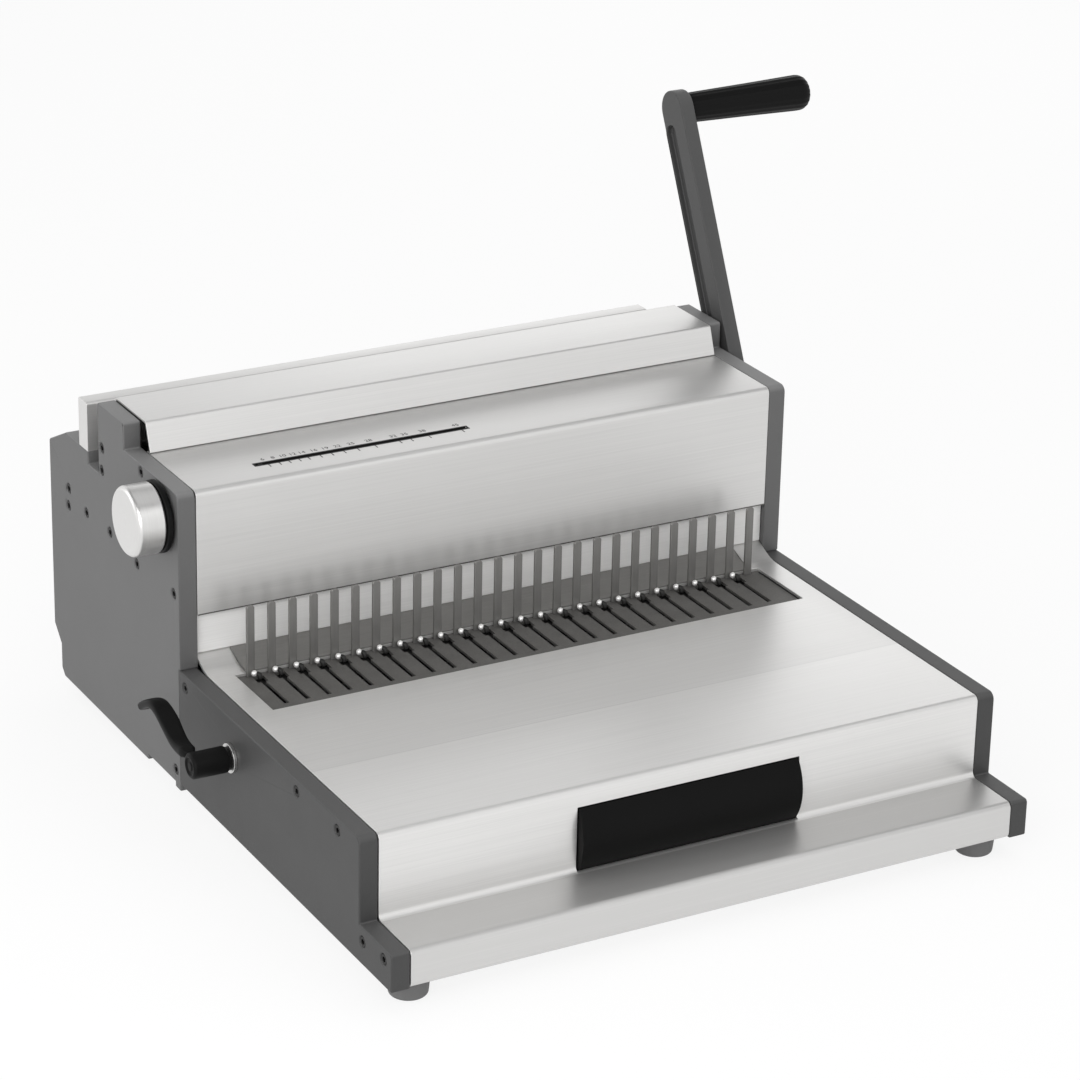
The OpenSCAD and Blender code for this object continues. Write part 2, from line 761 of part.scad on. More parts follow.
eye_share = 0.7;
groove_rim = 1.2;
groove_end_share = 0.58;
module lever_arm() {
  a = [shaft_y, shaft_z];
  b = [grip_y, grip_z];
  side = [lever_dir[1], -lever_dir[0]] * (lever_w / 2 - groove_rim - groove_w / 2);
  g0 = a + lever_dir * lever_eye_dia * eye_share + side;
  g1 = b - lever_dir * lever_w * groove_end_share + side;
  color(dark_steel) difference() {
    union() {
      across(lever_x, lever_x + lever_t) polygon(bar_outline(a, lever_w / 2, b, lever_w / 2));
      rod_x(lever_x, lever_x + lever_t, shaft_y, shaft_z, lever_eye_dia);
    }
    across(lever_x - over, lever_x + groove_d) polygon(bar_outline(g0, groove_w / 2, g1, groove_w / 2));
    rod_x(lever_x - over, lever_x + lever_t + over, shaft_y, shaft_z, shaft_dia);
    rod_x(lever_x + groove_d, lever_x + lever_t + over, grip_y, grip_z, grip_bolt_dia);
  }
}

lever_screw_head = 20;
lever_screw_t = 5;
module lever_screw() {
  x = lever_x + lever_t;
  color(steel) difference() {
    union() {
      rod_x(x, x + lever_screw_t, shaft_y, shaft_z, lever_screw_head);
      rod_x(x - thread_l, x, shaft_y, shaft_z, thread_dia);
    }
    translate([x + lever_screw_t / 3, shaft_y, shaft_z]) rotate([0, 90, 0])
      cylinder(h = lever_screw_t, d = thread_dia, $fn = 6);
  }
}

bolt_share = 0.85;
module grip_bolt() {
  color(steel) rod_x(lever_x + groove_d, grip_x + grip_l * bolt_share, grip_y, grip_z, grip_bolt_dia);
}

grip_round = 6;
module lever_grip() {
  r0 = grip_dia / 2;
  r1 = grip_end_dia / 2;
  end = grip_l - grip_round;
  bore = grip_l * bolt_share + play;
  color(black) translate([grip_x, grip_y, grip_z]) rotate([0, 90, 0]) rotate_extrude() polygon(concat(
    [[grip_bolt_dia / 2 + fit, 0], [r0 - over, 0], [r0, over]],
    [for (i = [0 : arc_n]) [r1 - grip_round + grip_round * cos(90 * i / arc_n), end + grip_round * sin(90 * i / arc_n)]],
    [[0, grip_l], [0, bore], [grip_bolt_dia / 2 + fit, bore]]));
}

// Pin that the lever leans on at rest
stop_dia = 8;
stop_at = [shaft_y, shaft_z] + lever_dir * lever_eye_dia * 0.9
  + [lever_dir[1], -lever_dir[0]] * (lever_w / 2 + stop_dia / 2 + play);
stop_root = 8;
module stop_pin_cut() {
  rod_x(half_w - stop_root, half_w + over, stop_at[0], stop_at[1], stop_dia);
}
module lever_stop_pin() {
  color(steel) rod_x(half_w - stop_root, lever_x + lever_t, stop_at[0], stop_at[1], stop_dia);
}

// Comb opener: a row of free fingers that the comb hangs on, welded to a bar under the slotted plate
tine_shift = 0.5;
function tine_x(i) = tine_shift - row_l / 2 + i * hole_pitch;
foot_t = 3;
foot_lap = 14;
module tine_outline() {
  w = tine_w / 2;
  top = deck_z + tine_h;
  polygon(rounded([[-w, slotted_z - foot_t, 0], [w, slotted_z - foot_t, 0],
                   [w, top, w * 0.7], [-w, top, w * 0.7]]));
}

module tines() {
  color(dark_steel) for (i = [0 : hole_n - 1]) translate([tine_x(i), tine_y + tine_t, 0]) rotate([90, 0, 0])
    linear_extrude(tine_t) tine_outline();
}

module tine_bar() {
  end = tine_w + over;
  color(dark_steel) block(tine_x(0) - end, tine_x(hole_n - 1) + end, tine_y + tine_t, tine_y + foot_lap,
                          slotted_z - foot_t, slotted_z);
}

// Strip that holds the recess panel from behind
rail_h = 8;
module recess_rail() {
  color(dark_steel) block(-inner, inner, recess_y + sheet_t, recess_y + sheet_t + rail_h,
                          lip_z - rail_h, lip_z + bend_r);
}

slotted_lap = 8;
eye_l = 8;
function hook_x(i) = tine_x(i) + hook_side;
module slotted_plate() {
  cut_y = well_y + 9 * over;
  eye_y = hook_y + over - eye_l;
  color(dark_steel) difference() {
    block(-well_w / 2 - slotted_lap, well_w / 2 + slotted_lap, well_y - slotted_lap, well_rear_y + slotted_lap,
          slotted_z, slotted_z + slotted_t);
    for (i = [0 : hook_n - 1]) {
      block(hook_x(i) - slot_cut_w / 2, hook_x(i) + slot_cut_w / 2, cut_y, hook_y,
            slotted_z - over, slotted_z + slotted_t + over);
      block(hook_x(i) - slot_eye_w / 2, hook_x(i) + slot_eye_w / 2, eye_y, hook_y + over,
            slotted_z - over, slotted_z + slotted_t + over);
    }
    for (i = [0 : hole_n - 1]) block(tine_x(i) - tine_w / 2 - play, tine_x(i) + tine_w / 2 + play,
      tine_y - play, tine_y + tine_t + play, slotted_z - over, slotted_z + slotted_t + over);
  }
}

mouth_low_share = 0.2;
mouth_high_share = 0.6;
module hook_outline() {
  y0 = hook_y - hook_d;
  top = deck_z + hook_h;
  low = deck_z + hook_h * mouth_low_share;
  high = deck_z + hook_h * mouth_high_share;
  soft = over / 3;
  polygon(rounded([
    [y0, carriage_top_z, 0], [hook_y, carriage_top_z, 0], [hook_y, low, soft],
    [hook_y - hook_d / 2, low, soft], [hook_y - hook_d / 2, high, soft],
    [hook_y + over, top - over, soft], [hook_y + over, top, soft], [y0, top, 2 * over]]));
}

module hooks() {
  color(black) for (i = [0 : hook_n - 1]) across(hook_x(i) - hook_t / 2, hook_x(i) + hook_t / 2) hook_outline();
}

module hook_carriage() {
  y1 = carriage_y + carriage_d;
  color(dark_steel) difference() {
    union() {
      block(-inner + over, inner - over, carriage_y, y1, carriage_top_z - carriage_t, carriage_top_z);
      for (s = [-1, 1]) block(min(s * lug_x, s * (lug_x + lug_w)), max(s * lug_x, s * (lug_x + lug_w)),
                              carriage_y, y1, lug_low_z, carriage_top_z);
    }
    for (s = [-1, 1]) rod_y(s * (lug_x + lug_w / 2), carriage_y - over, y1 + over, carriage_rod_z,
                            carriage_rod_dia + 2 * fit);
  }
}

module carriage_racks() {
  color(dark_steel) for (s = [-1, 1]) {
    x = s * opener_rack_half - rack_w / 2;
    across(x, x + rack_w) intersection() {
      rack_2d(opener_y - opener_r, carriage_y, opener_y, opener_z + opener_r, -1);
      translate([0, 0]) square([2 * rear_y, carriage_top_z]);
    }
  }
}

rod_rear_y = housing_y + 2 * over;
rod_front_y = opener_y - 3 * opener_r;
module carriage_rods() {
  color(steel) for (s = [-1, 1]) rod_y(s * (lug_x + lug_w / 2), rod_front_y, rod_rear_y, carriage_rod_z, carriage_rod_dia);
}

module rod_blocks() {
  color(dark_steel) for (s = [-1, 1], y = [rod_front_y, rod_rear_y - block_d]) difference() {
    block(min(s * lug_x, s * inner), max(s * lug_x, s * inner), y, y + block_d, lug_low_z, slotted_z - over);
    rod_y(s * (lug_x + lug_w / 2), y - over, y + block_d + over, carriage_rod_z, carriage_rod_dia);
  }
}

opener_bush_wall = 3;
module opener_bushes() {
  d = opener_dia + 2 * opener_bush_wall;
  color("goldenrod") {
    difference() {
      rod_x(-half_w, -inner, opener_y, opener_z, d);
      rod_x(-half_w - over, -inner + over, opener_y, opener_z, opener_dia + 2 * fit);
    }
    difference() {
      rod_x(inner, inner + bush_pocket, opener_y, opener_z, d);
      rod_x(inner - over, inner + bush_pocket + over, opener_y, opener_z, opener_dia + 2 * fit);
    }
  }
}

module opener_shaft() {
  color(steel) rod_x(-hub_x - opener_hub_l * 0.8, inner + bush_pocket - over / 2, opener_y, opener_z, opener_dia);
}

module opener_pinions() {
  color(dark_steel) for (s = [-1, 1]) {
    x = s * opener_rack_half - rack_w / 2;
    difference() {
      translate([0, opener_y, opener_z]) across(x, x + rack_w) pinion_2d(opener_r, opener_teeth);
      rod_x(x - over, x + rack_w + over, opener_y, opener_z, opener_dia);
    }
  }
}

module opener_washer() {
  color(steel) difference() {
    rod_x(-half_w - washer_t, -half_w, opener_y, opener_z, opener_hub_dia + 2 * over);
    rod_x(-half_w - washer_t - over, -half_w + over, opener_y, opener_z, opener_dia + 2 * fit);
  }
}

module opener_hub() {
  color(black) difference() {
    rod_x(-hub_x - opener_hub_l, -hub_x, opener_y, opener_z, opener_hub_dia);
    rod_x(-hub_x - opener_hub_l * 0.8, -hub_x + over, opener_y, opener_z, opener_dia);
  }
}

// The S of the paddle, as shares of its reach
paddle_shares = [[0.04, 0.045], [0.31, 0.02], [0.46, 0.078], [0.66, 0.178], [0.78, 0.182], [0.93, 0.11], [1, 0.05]];
module opener_paddle() {
  path = [for (v = paddle_shares) [opener_y, opener_z] + v * paddle_l];
  x0 = -hub_x - opener_hub_l;
  p = bent(path, paddle_t * 2);
  top = beside(p, paddle_t / 2);
  low = beside(p, -paddle_t / 2);
  color(black) difference() {
    across(x0, x0 + paddle_w) polygon(concat(low, [for (i = [len(top) - 1 : -1 : 0]) top[i]]));
    rod_x(x0 - over, x0 + paddle_w + over, opener_y, opener_z, opener_hub_dia);
  }
}

// Comb size selector
module selector_knob() {
  r = knob_dia / 2;
  color(alu) translate([-half_w - knob_gap, knob_y, knob_z]) rotate([0, -90, 0]) rotate_extrude() polygon([
    [spindle_dia / 2, 0], [r - over, 0], [r, over], [r, knob_l - 2 * over], [r - 2 * over, knob_l],
    [0, knob_l], [0, knob_l * 0.8], [spindle_dia / 2, knob_l * 0.8]]);
}

module selector_spindle() {
  color(steel) rod_x(-half_w - knob_gap - knob_l * 0.8, spindle_end_x, knob_y, knob_z, spindle_dia);
}

module spindle_bearing() {
  color(dark_steel) difference() {
    block(spindle_end_x - nut_w / 2, spindle_end_x + nut_w / 2, knob_y - nut_d / 2, knob_y + nut_d / 2,
          knob_z - nut_h / 2, housing_z - sheet_t);
    rod_x(spindle_end_x - nut_w, spindle_end_x + nut_w, knob_y, knob_z, spindle_dia + 2 * fit);
  }
}

module pointer_slide() {
  x = slot_x0 + pointer_w;
  color("firebrick") difference() {
    union() {
      block(x - nut_w / 2, x + nut_w / 2, knob_y - nut_d / 2, knob_y + nut_d / 2,
            knob_z - nut_h / 2, housing_z - sheet_t - play);
      block(x - pointer_w / 2, x + pointer_w / 2, knob_y - pointer_slot_w / 2 + play, knob_y + pointer_slot_w / 2 - play,
            housing_z - 2 * sheet_t, housing_z);
    }
    rod_x(x - nut_w, x + nut_w, knob_y, knob_z, spindle_dia + 2 * fit);
  }
}

// Chip drawer
module drawer_tray() {
  w = drawer_w / 2 - 2 * tray_wall;
  color(steel) difference() {
    block(-w, w, tray_y, tray_y + tray_l, tray_z, tray_z + tray_h);
    block(-w + tray_wall, w - tray_wall, tray_y + tray_wall, tray_y + tray_l - tray_wall,
          tray_z + tray_wall, tray_z + tray_h + over);
  }
}

module drawer_front() {
  n = 3 * arc_n;
  z0 = ledge_z + drawer_gap;
  h = drawer_h - drawer_gap;
  r = (h * h / 4 + drawer_bulge * drawer_bulge) / (2 * drawer_bulge);
  a = asin(h / 2 / r);
  m = [ledge_d - drawer_bulge + r, z0 + h / 2];
  color(black) across(-drawer_w / 2, drawer_w / 2) polygon(concat(
    [[tray_y, z0], [tray_y, z0 + h]],
    [for (i = [0 : n]) m + r * [-cos(a - 2 * a * i / n), sin(a - 2 * a * i / n)]]));
}

module drawer_runners() {
  w = drawer_w / 2 - 2 * tray_wall;
  lip = 6;
  color(dark_steel) for (s = [-1, 1]) right_half(s < 0) union() {
    block(w + play, w + play + sheet_t, tray_y + over, tray_y + tray_l, foot_h + floor_t, tray_z + tray_h / 2);
    block(w - lip, w + play + over / 2, tray_y + over, tray_y + tray_l, tray_z - sheet_t, tray_z);
  }
}

// The chute leads the chips from behind the die to the drawer
module chip_chute() {
  top = [rest_y + tail_d * 0.4, slot_floor_z - 2 * die_t];
  low = [tray_y + tray_l - 2 * tray_h, tray_z + tray_h + 4 * over];
  run = norm(top - low);
  wide = inner - sheet_t;
  narrow = drawer_w / 2 - 4 * tray_wall;
  wall_z = 8;
  color(steel) translate([0, low[0], low[1]]) rotate([heading(top - low), 0, 0]) {
    linear_extrude(sheet_t) polygon([[-narrow, 0], [narrow, 0], [wide, run], [-wide, run]]);
    for (s = [-1, 1]) linear_extrude(wall_z) polygon([[s * narrow, 0], [s * (narrow + sheet_t), 0],
                                                     [s * (wide + sheet_t), run], [s * wide, run]]);
  }
}

placed() left_side_plate();
placed() right_side_plate();
placed() left_base_plate();
placed() right_base_plate();
placed() plate_screws_left();
placed() plate_screws_right();
placed() tie_bars();
placed() housing_cover();
placed() head_cap();
placed() recess_panel();
placed() deck_panel();
placed() bottom_cover();
placed() rear_cover();
placed() paper_rest();
placed() side_stop();
placed() feet();
placed() foot_screws();
placed() guide_plate();
placed() die_plate();
placed() margin_stop_bar();
placed() guide_rods();
placed() punch_bar();
placed() punch_pins();
placed() punch_racks();
placed() bar_bushes();
placed() shaft_bearings();
placed() main_shaft();
placed() punch_pinions();
placed() lever_arm();
placed() lever_screw();
placed() grip_bolt();
placed() lever_grip();
placed() lever_stop_pin();
placed() recess_rail();
placed() tines();
placed() tine_bar();
placed() slotted_plate();
placed() hook_carriage();
placed() hooks();
placed() carriage_racks();
placed() carriage_rods();
placed() rod_blocks();
placed() opener_bushes();
placed() opener_shaft();
placed() opener_pinions();
placed() opener_washer();
placed() opener_hub();
placed() opener_paddle();
placed() selector_knob();
placed() selector_spindle();
placed() spindle_bearing();
placed() pointer_slide();
placed() drawer_tray();
placed() drawer_front();
placed() drawer_runners();
placed() chip_chute();
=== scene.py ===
# %% [markdown]
# # A heavy desk comb binding machine
#
# The machine punches a row of slots into a stack of sheets and then opens a plastic comb so that the
# sheets can be hung on it. Its body is a set of folded aluminium covers between two thick painted side
# plates. The CAD model already holds every plate, lever and tooth at its real size. This file dresses
# it: it gives each piece its finish, softens the edges that a file or a press would soften, and adds
# what is too fine for the CAD model, such as the comb size scale. All lengths are in metres.

# %% Load the CAD model
import json
import bpy
import bmesh
import numpy as np
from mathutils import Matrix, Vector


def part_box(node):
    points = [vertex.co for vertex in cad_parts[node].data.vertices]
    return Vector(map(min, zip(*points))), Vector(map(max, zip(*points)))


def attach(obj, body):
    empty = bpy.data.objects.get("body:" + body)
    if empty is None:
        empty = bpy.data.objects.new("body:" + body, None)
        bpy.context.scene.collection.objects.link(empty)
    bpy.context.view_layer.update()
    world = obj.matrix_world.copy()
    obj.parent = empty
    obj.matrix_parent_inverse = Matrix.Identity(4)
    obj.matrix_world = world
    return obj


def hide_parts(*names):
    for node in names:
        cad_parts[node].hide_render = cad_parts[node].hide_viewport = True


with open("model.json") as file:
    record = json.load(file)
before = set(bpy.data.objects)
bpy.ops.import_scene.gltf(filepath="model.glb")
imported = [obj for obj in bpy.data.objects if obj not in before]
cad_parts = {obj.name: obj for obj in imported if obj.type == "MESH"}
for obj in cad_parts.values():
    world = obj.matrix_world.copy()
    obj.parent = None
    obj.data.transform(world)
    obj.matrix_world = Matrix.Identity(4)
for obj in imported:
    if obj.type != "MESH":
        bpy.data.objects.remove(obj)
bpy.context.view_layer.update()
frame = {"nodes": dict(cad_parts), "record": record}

# %% [markdown]
# ## Camera
#
# The camera stands in front of the machine and to its left, about two and a half metres away, and
# looks down on it through a long lens. A long lens keeps the edges of the machine nearly parallel, as
# in a catalogue picture. The small shift moves the picture on the sensor without turning the camera.

# %% Set the camera
view = bpy.data.cameras.new("catalogue_view")
view.lens, view.sensor_width = 124.98, 36.0
view.shift_x, view.shift_y = 0.0388, -0.0737
view.clip_end = 30.0
catalogue_camera = bpy.data.objects.new("catalogue_camera", view)
catalogue_camera.location = (-1.0866, -1.8805, 1.0636)
catalogue_camera.rotation_euler = np.radians((68.341, -0.936, -28.282))
bpy.context.scene.collection.objects.link(catalogue_camera)
bpy.context.scene.camera = catalogue_camera
print("lens", round(view.lens, 2), "mm")

# %% [markdown]
# ## Turning numpy arrays into meshes
#
# Most new pieces are surfaces on a grid: a shape is a function of two parameters, and both are worked
# out as whole arrays. One function turns such a grid into quads, closes its seams and poles, and turns
# it inside out if its volume comes out negative. A first axis of the array holds copies of one shape.

# %% Grid to mesh
smooth_below = np.radians(35)

def add_piece(name, mesh, body, *nodes):
    """Links a finished mesh, lets it ride on a CAD body and lets it stand for CAD nodes."""
    piece = bpy.data.objects.new(name, mesh)
    bpy.context.scene.collection.objects.link(piece)
    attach(piece, body)
    if nodes:
        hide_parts(*nodes)
    return piece

def tidy_mesh(mesh, merge=1e-6, flat=0.0):
    """Merges points that lie together, joins flat neighbours if asked, and smooths by angle."""
    form = bmesh.new()
    form.from_mesh(mesh)
    bmesh.ops.remove_doubles(form, verts=form.verts, dist=merge)
    if flat:
        bmesh.ops.dissolve_limit(form, angle_limit=flat, verts=form.verts, edges=form.edges)
    else:
        bmesh.ops.recalc_face_normals(form, faces=form.faces)
        if form.calc_volume(signed=True) < 0:
            bmesh.ops.reverse_faces(form, faces=form.faces)
    form.to_mesh(mesh)
    form.free()
    mesh.polygons.foreach_set("use_smooth", np.ones(len(mesh.polygons), dtype=bool))
    mesh.set_sharp_from_angle(angle=smooth_below)
    return mesh

def make_piece(name, grid, finish, body, *nodes):
    """Makes quads between neighbours of a grid of points, shaped (copies, rows, columns, 3), or without
    its first axis for one copy. The last column joins the first. The mesh becomes a piece on body."""
    grid = np.asarray(grid, dtype=float)
    grid = grid[None] if grid.ndim == 3 else grid
    copies, rows, columns = grid.shape[:3]
    row, column = np.meshgrid(np.arange(rows - 1), np.arange(columns), indexing="ij")
    beside = (column + 1) % columns
    one = np.stack([row * columns + column, row * columns + beside,
                    (row + 1) * columns + beside, (row + 1) * columns + column], axis=-1).reshape(-1, 4)
    quads = (one[None] + np.arange(copies)[:, None, None] * rows * columns).reshape(-1, 4)
    mesh = bpy.data.meshes.new(name)
    mesh.from_pydata(grid.reshape(-1, 3).tolist(), [], quads.tolist())
    tidy_mesh(mesh)
    mesh.materials.append(finish.material)
    return add_piece(name, mesh, body, *nodes)

# %% [markdown]
# ## Profiles
#
# A turned piece, such as a knob or a foot, is a profile carried round an axis. A profile is easy to
# write as a few corner points, so one function rounds its corners with short curves, and another
# carries it round. Where the radius is zero, the points of a row fall together and close the end.

# %% Round a profile and turn it
def soft_corners(corners, bend, steps=6):
    """Each inner corner becomes a curve b + (a - b)(1 - t)^2 + (c - b)t^2 between points a and c that
    lie at the distance bend from it, on its two sides, but never past half of a side."""
    points = np.asarray(corners, dtype=float)
    before, corner, after = points[:-2], points[1:-1], points[2:]

    def near(other):
        way = other - corner
        size = np.linalg.norm(way, axis=1, keepdims=True)
        return way / size * np.minimum(bend, size * 0.499)

    t = np.linspace(0, 1, steps)[None, :, None]
    arcs = corner[:, None] + near(before)[:, None] * (1 - t) ** 2 + near(after)[:, None] * t ** 2
    return np.vstack([points[:1], arcs.reshape(-1, points.shape[1]), points[-1:]])

def turned(profile, centre, along, columns=96, flutes=0, depth=0.0):
    """Carries (distance, radius) pairs round an axis. The radius may dip by depth in flutes round it:
    r(angle) = r - depth * (1 - cos(flutes * angle)) / 2."""
    along = np.asarray(along, dtype=float)
    first = np.cross(along, (0.0, 0.0, 1.0) if abs(along[2]) < 0.9 else (1.0, 0.0, 0.0))
    first /= np.linalg.norm(first)
    second = np.cross(along, first)
    angle = np.linspace(0, 2 * np.pi, columns, endpoint=False)
    reach, radius = np.asarray(profile)[:, :1], np.asarray(profile)[:, 1:]
    radius = radius - np.minimum(depth, radius) * (1 - np.cos(flutes * angle)) / 2
    return (np.asarray(centre) + reach[..., None] * along
            + (radius * np.cos(angle))[..., None] * first + (radius * np.sin(angle))[..., None] * second)

# %% [markdown]
# ## Softened edges
#
# A folded sheet or a milled plate never has a perfectly sharp edge, and the thin line of light on a
# broken edge tells the eye how big and how thick a piece is. A CAD node stays as it is, so a copy of
# it is merged, its flat faces are joined, and a Bevel modifier rounds each edge by a real amount.

# %% Copies of CAD nodes with broken edges
same_point, flat_angle, edge_angle = 2e-6, np.radians(0.3), np.radians(30)
body_of_node = {node: body for body, nodes in frame["record"]["behaviour"]["bodies"].items()
                for node in nodes}

def softened(node, width, finish, steps):
    """A copy of a CAD node whose sharp edges are rounded by width metres. Where a flat face is split
    beside a screw hole, a bevel that slides along the split leaves a spike on the base plates."""
    mesh = tidy_mesh(frame["nodes"][node].data.copy(), merge=same_point, flat=flat_angle)
    mesh.materials.clear()
    mesh.materials.append(finish)
    piece = add_piece(node + "_dressed", mesh, body_of_node[node], node)
    rounding = piece.modifiers.new("broken_edges", "BEVEL")
    rounding.width, rounding.segments = width, steps
    rounding.limit_method, rounding.angle_limit = "ANGLE", edge_angle
    rounding.use_clamp_overlap, rounding.harden_normals = False, True
    rounding.loop_slide = not node.endswith("base_plate")

def span(node):
    """The lowest and the highest corner of a CAD node."""
    low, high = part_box(node)
    return np.array(low), np.array(high)

# %% [markdown]
# ## Shader maths written as Python
#
# A finish is a small formula, such as roughness = 0.35 + 0.1 * grain. Wired by hand it takes many Math
# nodes and hides the formula. The class below wraps the output of a node, and its operators add the
# Math nodes, so a finish reads as the formula. Every other node comes from one method that takes its
# type, its settings and the values or links of its inputs.

# %% Wrapped sockets
class Field:
    """A value that changes over a surface: one output socket of a node."""

    def __init__(self, finish, socket):
        self.finish, self.socket = finish, socket

    def _math(self, how, *values):
        return self.finish.node("Math", dict(enumerate(values)), operation=how)

    def __add__(self, other):
        return self._math("ADD", self, other)

    def __radd__(self, other):
        return self._math("ADD", other, self)

    def __sub__(self, other):
        return self._math("SUBTRACT", self, other)

    def __rsub__(self, other):
        return self._math("SUBTRACT", other, self)

    def __mul__(self, other):
        return self._math("MULTIPLY", self, other)

    def __rmul__(self, other):
        return self._math("MULTIPLY", other, self)

    def __truediv__(self, other):
        return self._math("DIVIDE", self, other)

    def __rtruediv__(self, other):
        return self._math("DIVIDE", other, self)

    def __pow__(self, other):
        return self._math("POWER", self, other)

    def __rpow__(self, other):
        return self._math("POWER", other, self)

    def above(self, edge):
        """One where the value is greater than edge, else zero."""
        return self._math("GREATER_THAN", self, edge)

    def at_most(self, edge):
        return self._math("MINIMUM", self, edge)

    def at_least(self, edge):
        return self._math("MAXIMUM", self, edge)

    def absolute(self):
        return self._math("ABSOLUTE", self)

# %% A finish
class Finish:
    """A material whose Principled shader is set by constants and by fields."""

    def __init__(self, name, **constants):
        self.material = bpy.data.materials.new(name)
        self.material.use_nodes = True
        self.tree = self.material.node_tree
        self.shader = self.tree.nodes["Principled BSDF"]
        self.place = self.node("TexCoord", out="Object")
        for key, value in constants.items():
            self.put(self.shader.inputs[key.replace("_", " ")], value)

    def put(self, socket, value):
        """Links a field to a socket, or sets the socket to a constant."""
        if isinstance(value, Field):
            self.tree.links.new(value.socket, socket)
        else:
            socket.default_value = value

    def node(self, kind, inputs=None, out=0, **settings):
        """A node with its settings, then the values or links of its inputs, and one of its outputs."""
        made = self.tree.nodes.new("ShaderNode" + kind)
        for key, value in settings.items():
            setattr(made, key, value)
        for key, value in (inputs or {}).items():
            self.put(made.inputs[key], value)
        return Field(self, made.outputs[out])

    def axis(self, which, where=None):
        """One of the three parts of a place or a direction."""
        return self.node("SeparateXYZ", {"Vector": where or self.place}, out=which)

    def stretched(self, scale):
        """Object coordinates multiplied by scale, so that a noise is drawn out along one axis."""
        return self.node("Mapping", {"Vector": self.place, "Scale": scale})

    def lathe(self, centre, scale):
        """Place along X and distance from an axis through centre, so that a noise draws turning marks."""
        placed = self.node("VectorMath", {0: self.place, 1: tuple(centre)}, operation="SUBTRACT")
        x, y, z = (self.axis(which, placed) for which in "XYZ")
        radius = (y ** 2.0 + z ** 2.0) ** 0.5
        return self.node("CombineXYZ", {"X": x * scale, "Y": radius * scale})

    def noise(self, scale, detail=3.0, where=None, roughness=0.6):
        """A smooth random field between zero and one."""
        return self.node("TexNoise", {"Vector": where or self.place, "Scale": scale, "Detail": detail,
                                      "Roughness": roughness})

    def colour(self, amount, dark, light):
        """Mixes two colours by a field."""
        mixed = self.node("Mix", {"Factor": amount, 6: (*dark, 1.0), 7: (*light, 1.0)}, out=2,
                          data_type="RGBA")
        self.put(self.shader.inputs["Base Color"], mixed)

    def rough(self, value):
        self.put(self.shader.inputs["Roughness"], value)

    def relief(self, height, depth, strength=0.5):
        """Bumps the surface by height times depth metres."""
        bump = self.node("Bump", {"Height": height, "Distance": depth, "Strength": strength})
        self.put(self.shader.inputs["Normal"], bump)

def grey(level, warm=0.0):
    """A grey of the given linear level, turned towards brown if warm."""
    return (level, level * (1 - 0.35 * warm), level * (1 - warm))

# %% [markdown]
# ## Brushed aluminium
#
# The covers are aluminium sheet, brushed along the machine and then anodised. Brushing leaves fine
# parallel scratches: noise that is drawn out along X and very fine across it. The scratches vary the
# roughness more than the colour, because each one scatters light to the side. A slower noise gives the
# faint clouds of an anodised sheet. A faint line runs across the deck. Painted shade darkens the line
# itself, the sheet a little behind it and the ledge in front, so there the tone also follows Y.

# %% The finishes of the covers
def brushed(name, level, rough, metallic=0.78, folds=None, lathe=None):
    """Grain = 0.66 fine scratches + 0.14 long streaks + 0.20 clouds. It mixes a darker and a lighter grey,
    and the scratches shift the roughness. Folds give the Y of the line on the deck and of the ledge's
    rear edge: painted shade drops the tone behind the first, before the second and on the line itself."""
    warm, brightest = 0.02, 0.97
    finish = Finish(name, Metallic=metallic, Specular_IOR_Level=0.5)
    where = finish.lathe(*lathe) if lathe else finish.stretched((6.0, 1100.0, 1100.0))
    fine = finish.noise(1.0, 4.0, where, 0.75)
    streak = finish.noise(1.0, 2.0, finish.stretched((1.6, 260.0, 260.0)), 0.6)
    cloud = finish.noise(7.0, 3.0)
    grain = fine * 0.66 + streak * 0.14 + cloud * 0.20
    tone = grain
    if folds:
        deck_line, ledge = folds
        # Painted shade: the tone is painted darker on the deck line, behind it and on the ledge.
        line_half, painted_shade_behind_line, painted_crease_shade, painted_ledge_shade = 0.0007, 0.17, 0.35, 0.50
        y = finish.axis("Y")
        line = 1 - ((y - deck_line).absolute() / line_half).at_most(1.0)
        tone = (grain - y.above(deck_line) * painted_shade_behind_line - line * painted_crease_shade
                - (1 - y.above(ledge)) * painted_ledge_shade)
    finish.colour(tone, grey(level * 0.82, warm), grey(min(level * 1.16, brightest), warm))
    finish.rough(rough + (fine - 0.5) * 0.26 + (streak - 0.5) * 0.08)
    finish.relief(grain, 0.00003)
    return finish

knob_middle = np.mean(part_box("selector_knob"), axis=0)
cover_silver = brushed("cover_brushed_aluminium", 0.69, 0.40)
deck_silver = brushed("deck_brushed_aluminium", 0.76, 0.36, folds=(-0.1195, -0.2100))
# Painted light: the recess panel is painted lighter and less metallic than the other aluminium, to make up
# for the shade in its recess.
recess_painted_light = brushed("recess_aluminium_painted_light", 0.84, 0.5, metallic=0.1)
knob_silver = brushed("knob_satin_aluminium", 0.72, 0.36, metallic=0.92, lathe=(knob_middle, 1600.0))
print("turning marks round", knob_middle)
